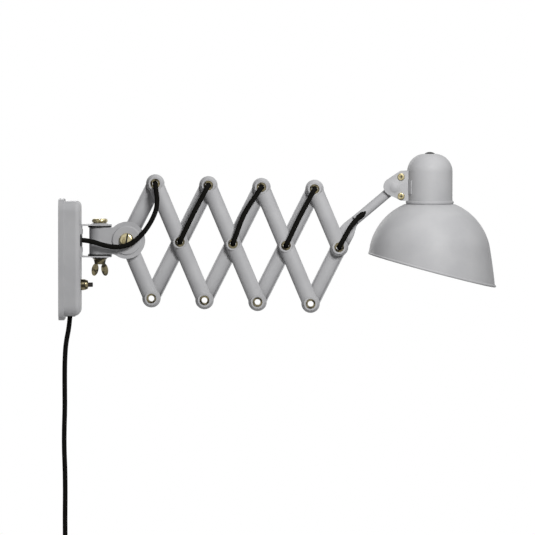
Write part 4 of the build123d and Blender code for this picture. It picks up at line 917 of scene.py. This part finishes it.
@dataclass
class MouldedPlug:
    """A flat two-pin plug moulded on the end of the lead."""

    palette: Palette
    start: Vector
    width: float = 0.0342
    depth: float = 0.0132
    sleeve: float = 0.0175
    body: float = 0.0205
    squareness: float = 0.75
    mouth: tuple[Point, ...] = ((0.0, 0.0088, 0.0088), (0.0006, 0.0100, 0.0100))
    first_rib: float = 0.002
    ribs: int = 5
    rib_pitch: float = 0.0024
    rib_width: float = 0.0101
    rib_growth: float = 0.0003
    groove: float = 0.0014
    pin_radius: float = 0.0020
    pin_length: float = 0.0188
    pin_spacing: float = 0.0186
    sunk: float = 0.0002

    def _section(self, down: float, width: float, depth: float, corners: int = 24) -> list[Point]:
        """One rounded cross-section, at a distance below the cord's end."""
        section = []
        for corner in range(corners):
            angle = 2.0 * math.pi * (corner + 0.5) / corners
            across, deep = math.cos(angle), math.sin(angle)
            x = math.copysign(abs(deep) ** self.squareness, deep) * depth / 2.0
            y = math.copysign(abs(across) ** self.squareness, across) * width / 2.0
            section.append((self.start.x + x, self.start.y + y, self.start.z - down))
        return section

    def _loft(self, name: str, sections: Iterable[list[Point]]) -> bpy.types.Object:
        """Joins sections into one closed skin."""
        shape = bmesh.new()
        rings = [[shape.verts.new(place) for place in section] for section in sections]
        for ring, following in zip(rings, rings[1:]):
            for index in range(len(ring)):
                after = (index + 1) % len(ring)
                shape.faces.new((ring[index], following[index], following[after], ring[after]))
        shape.faces.new(rings[0])
        shape.faces.new(list(reversed(rings[-1])))
        bmesh.ops.recalc_face_normals(shape, faces=shape.faces)
        for face in shape.faces:
            face.smooth = True
        return add_piece(name, take_mesh(shape, name))

    def _profile(self) -> list[Point]:
        """The moulding's outline: distance below the cord's end, width and depth."""
        profile = list(self.mouth)
        for rib in range(self.ribs):
            down = self.first_rib + rib * self.rib_pitch
            full = self.rib_width + rib * self.rib_growth
            waist = full - self.groove
            for step, wide in ((0.0, full), (0.0005, waist), (0.0013, waist), (0.0018, full)):
                profile.append((down + step, wide, wide))
        top, foot = self.sleeve, self.sleeve + self.body
        width, depth = self.width, self.depth
        return [
            *profile,
            (top - 0.002, 0.0160, 0.0122),
            (top, 0.0240, 0.0128),
            (top + 0.004, 0.0318, depth),
            (top + 0.009, width, depth),
            (foot - 0.0012, width, depth),
            (foot - 0.0003, width - 0.0008, depth - 0.0008),
            (foot, width - 0.0024, depth - 0.0024),
        ]

    def build(self) -> list[bpy.types.Object]:
        """Builds the moulding with its grip ribs, and the pins."""
        sections = [self._section(*entry) for entry in self._profile()]
        moulding = self._loft("plug_moulding", sections)
        self.palette.dress(moulding, Slot.RUBBER)
        pins = self._pins()
        for piece, slot in ((moulding, Slot.RUBBER), (pins, Slot.BRASS)):
            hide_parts("mains_plug")
            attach(piece, "wall_unit")
        return [moulding, pins]

    def _pins(self) -> bpy.types.Object:
        """Builds the two pins with rounded tips from a node tree."""
        recipe = Recipe("plug pins")
        radius = recipe.size("Pin Radius", self.pin_radius)
        length = recipe.size("Pin Length", self.pin_length - self.pin_radius)
        spacing = recipe.size("Spacing", self.pin_spacing)
        seat = self.sleeve + self.body
        line = recipe.node("GeometryNodeMeshLine", {"mode": "END_POINTS"}, {"Count": 2})
        for socket, sign in (("Start Location", -0.5), ("Offset", 0.5)):
            half = recipe.node("ShaderNodeMath", {"operation": "MULTIPLY"}, {0: spacing, 1: sign})
            place = recipe.node("ShaderNodeCombineXYZ", {}, {"Y": half.outputs[0]})
            recipe.tree.links.new(place.outputs[0], line.inputs[socket])
        shank = recipe.node(
            "GeometryNodeMeshCylinder", {}, {"Vertices": 20, "Radius": radius, "Depth": length}
        )
        ball = recipe.node(
            "GeometryNodeMeshUVSphere", {}, {"Segments": 20, "Rings": 10, "Radius": radius}
        )
        drop = recipe.node("ShaderNodeMath", {"operation": "MULTIPLY"}, {0: length, 1: -0.5})
        below = recipe.node("ShaderNodeCombineXYZ", {}, {"Z": drop.outputs[0]})
        tip = recipe.move(ball.outputs[0], below.outputs[0])
        pin = recipe.node("GeometryNodeJoinGeometry", {}, {})
        recipe.tree.links.new(shank.outputs[0], pin.inputs[0])
        recipe.tree.links.new(tip, pin.inputs[0])
        inputs = {"Points": line.outputs[0], "Instance": pin.outputs[0]}
        both = recipe.node("GeometryNodeInstanceOnPoints", {}, inputs)
        reach = self.start.z - seat - (self.pin_length - self.pin_radius) / 2.0 + self.sunk
        put = recipe.move(both.outputs[0], (self.start.x, self.start.y, reach))
        recipe.close(put, self.palette.materials[Slot.BRASS])
        return recipe.run("plug_pins")


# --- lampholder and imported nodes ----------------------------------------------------
@dataclass
class LampholderDetail:
    """What is seen inside the shade: the socket's screw shell and the holder's ribs."""

    palette: Palette
    centre: Point = (SHADE_X, 0.0, 0.062)
    socket_radius: float = 0.0131
    thread_depth: float = 0.00075
    pitch: float = 0.0036
    turns: float = 6.5
    thread_lift: float = 0.003
    skirt_radius: float = 0.0184
    ribs: int = 28
    rib_height: float = 0.0300
    rib_radius: float = 0.0010
    rib_lift: float = 0.001

    def build(self) -> None:
        """Builds the thread and the ribs as plain meshes on the shade."""
        for piece, slot in ((self._thread(), Slot.BRASS), (self._ribs(), Slot.PLASTIC)):
            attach(piece, "shade")
            log.info("lampholder detail %s", piece.name)

    def _thread(self) -> bpy.types.Object:
        """The screw shell's thread, a spiral of round wire against the bore."""
        recipe = Recipe("screw shell")
        radius = recipe.size("Shell Radius", self.socket_radius - self.thread_depth)
        wire = recipe.size("Wire Radius", self.thread_depth)
        turns = recipe.size("Turns", self.turns)
        height = recipe.size("Height", self.pitch * self.turns)
        sizes = {"Rotations": turns, "Start Radius": radius, "End Radius": radius}
        inputs = {**sizes, "Height": height, "Resolution": 36}
        spiral = recipe.node("GeometryNodeCurveSpiral", {}, inputs)
        round_wire = recipe.node(
            "GeometryNodeCurvePrimitiveCircle", {}, {"Resolution": 8, "Radius": wire}
        )
        curves = {"Curve": spiral.outputs[0], "Profile Curve": round_wire.outputs[0]}
        swept = recipe.node("GeometryNodeCurveToMesh", {}, {**curves, "Fill Caps": True})
        x, y, z = self.centre
        put = recipe.move(swept.outputs[0], (x, y, z + self.thread_lift))
        recipe.close(put, self.palette.materials[Slot.BRASS])
        return recipe.run("screw_shell_thread")

    def _ribs(self) -> bpy.types.Object:
        """The grip ribs round the holder's skirt."""
        recipe = Recipe("skirt ribs")
        count = recipe.size("Count", self.ribs, whole=True)
        radius = recipe.size("Skirt Radius", self.skirt_radius)
        height = recipe.size("Rib Height", self.rib_height)
        circle = recipe.node("GeometryNodeMeshCircle", {}, {"Vertices": count, "Radius": radius})
        inputs = {"Vertices": 8, "Radius": self.rib_radius, "Depth": height}
        rib = recipe.node("GeometryNodeMeshCylinder", {}, inputs)
        inputs = {"Points": circle.outputs[0], "Instance": rib.outputs[0]}
        spread = recipe.node("GeometryNodeInstanceOnPoints", {}, inputs)
        x, y, z = self.centre
        middle = z + self.rib_height / 2 + self.rib_lift
        put = recipe.move(spread.outputs[0], (x, y, middle))
        recipe.close(put, self.palette.materials[Slot.PLASTIC])
        return recipe.run("holder_ribs")


@dataclass
class PackedPieces:
    """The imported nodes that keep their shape: finish and shading."""

    palette: Palette
    frame: dict[str, object]

    def build(self) -> None:
        """Dresses every node by its slot in the record."""
        rounding = smooth_recipe()
        subparts = self.frame["record"]["subparts"]
        slots = {entry["node"]: entry["material_slot"] for entry in subparts}
        for name, node in self.frame["nodes"].items():
            self.palette.dress(node, Slot(slots[name]))
            modifier = node.modifiers.new("round shading", "NODES")
            modifier.node_group = rounding
            log.info("packed piece %s in %s", name, slots[name])


# --- studio -------------------------------------------------------------------------
@dataclass(frozen=True)
class SoftLamp:
    """A soft square lamp, placed from the point at which it is aimed."""

    name: str
    offset: Point
    size: float
    power: float


@dataclass
class Studio:
    """Camera, lights, floor and white surroundings."""

    lamps: tuple[SoftLamp, ...] = (
        SoftLamp("key", (0.5, -1.3, 0.8), 0.38, 25.5),
        SoftLamp("fill", (-1.3, -1.5, 0.4), 1.2, 1.2),
        SoftLamp("low", (0.3, -1.2, -1.3), 0.7, 4.0),
        SoftLamp("back", (-0.7, 1.5, 0.5), 0.9, 7.0),
        SoftLamp("top", (0.25, 0.1, 1.5), 1.1, 7.5),
    )
    ambient: float = 0.10
    sensor: float = 36.0
    distance: float = 9.0
    elevation: float = math.radians(2.0)
    millimetres_per_pixel: float = 1.65
    pixels: int = 535
    origin_pixel: tuple[float, float] = (59.3, 259.2)
    floor_x: float = 0.34
    floor_z: float = -0.665
    floor_radius: float = 1.05
    floor_grey: float = 0.82
    floor_glow: float = 0.35

    def target(self) -> Vector:
        """The point at the centre of the photograph."""
        scale = self.millimetres_per_pixel / 1000.0
        middle = self.pixels / 2.0
        x = (middle - self.origin_pixel[0]) * scale
        return Vector((x, 0.0, (self.origin_pixel[1] - middle) * scale))

    def build(self) -> None:
        """Sets up the whole studio."""
        self._camera()
        self._world()
        self._floor()
        for lamp in self.lamps:
            self._lamp(lamp)
        view = bpy.context.scene.view_settings
        view.view_transform = "Standard"

    def _camera(self) -> None:
        """A long lens level with the arm, looking slightly down."""
        data = bpy.data.cameras.new("camera")
        data.sensor_width = self.sensor
        field_width = self.pixels * self.millimetres_per_pixel / 1000.0
        data.lens = data.sensor_width * self.distance / field_width
        camera = link_new("camera", data)
        back = Vector((0.0, -math.cos(self.elevation), math.sin(self.elevation)))
        camera.location = self.target() + back * self.distance
        camera.rotation_euler = (-back).to_track_quat("-Z", "Y").to_euler()
        bpy.context.scene.camera = camera

    def _lamp(self, lamp: SoftLamp) -> None:
        """Hangs one lamp and aims it at the photograph's centre."""
        data = bpy.data.lights.new(lamp.name, "AREA")
        data.shape = "SQUARE"
        data.size = lamp.size
        data.energy = lamp.power
        light = link_new(lamp.name, data)
        place = self.target() + Vector(lamp.offset)
        light.location = place
        light.rotation_euler = (self.target() - place).to_track_quat("-Z", "Y").to_euler()

    @staticmethod
    def _seen(tree: bpy.types.NodeTree) -> bpy.types.NodeSocket:
        """A mask that is 1 for camera, glossy and transmission rays."""
        path = tree.nodes.new("ShaderNodeLightPath")
        mask = path.outputs["Is Camera Ray"]
        for name in ("Is Glossy Ray", "Is Transmission Ray"):
            either = tree.nodes.new("ShaderNodeMath")
            either.operation = "MAXIMUM"
            tree.links.new(mask, either.inputs[0])
            tree.links.new(path.outputs[name], either.inputs[1])
            mask = either.outputs[0]
        return mask

    def _world(self) -> None:
        """White where it is seen, a softer white as light."""
        world = bpy.data.worlds.new("studio")
        bpy.context.scene.world = world
        world.use_nodes = True
        tree = world.node_tree
        tree.nodes.clear()
        glow = tree.nodes.new("ShaderNodeBackground")
        glow.inputs["Color"].default_value = WHITE
        glow.inputs["Strength"].default_value = self.ambient
        white = tree.nodes.new("ShaderNodeBackground")
        white.inputs["Color"].default_value = WHITE
        mix = tree.nodes.new("ShaderNodeMixShader")
        end = tree.nodes.new("ShaderNodeOutputWorld")
        tree.links.new(self._seen(tree), mix.inputs[0])
        tree.links.new(glow.outputs[0], mix.inputs[1])
        tree.links.new(white.outputs[0], mix.inputs[2])
        tree.links.new(mix.outputs[0], end.inputs["Surface"])

    def _floor(self) -> None:
        """A pale floor below the plug that keeps the lamp's shadow."""
        shape = bmesh.new()
        bmesh.ops.create_circle(shape, cap_ends=True, radius=self.floor_radius, segments=96)
        bmesh.ops.translate(shape, verts=shape.verts, vec=(self.floor_x, 0.0, self.floor_z))
        floor = add_piece("floor", take_mesh(shape, "floor"))
        graph = Graph("pale floor")
        grey = (self.floor_grey, self.floor_grey, self.floor_grey, 1.0)
        matte = graph.node("ShaderNodeBsdfDiffuse", None, {"Color": grey})
        glow = graph.node("ShaderNodeEmission", None, {"Strength": self.floor_glow})
        both = graph.node("ShaderNodeAddShader", None, {0: matte, 1: glow})
        mask = Value(graph, self._seen(graph.tree))
        mixed = graph.node("ShaderNodeMixShader", None, {0: mask, 1: matte, 2: both})
        graph.tree.links.new(mixed.socket, graph.end.inputs["Surface"])
        floor.data.materials.append(graph.material)


def corners(box: Sequence[Sequence[float]], digits: int = 6) -> list[list[float]]:
    """A box's two corners as plain lists of rounded numbers."""
    return [[round(float(value), digits) for value in corner] for corner in box]


def main() -> None:
    """Builds the lamp's looks and its studio."""
    logging.basicConfig(level=logging.INFO, format="%(name)s: %(message)s")
    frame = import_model()
    Studio().build()
    palette = Palette()
    palette.make()
    PackedPieces(palette, frame).build()
    row = ScissorRow()
    ArmCord(row, palette).build()
    ArmEnd(row, palette).build()
    SlotShadeStrips(palette, frame).build()
    MainsLead(palette).build()
    LampholderDetail(palette).build()


if __name__ == "__main__":
    main()
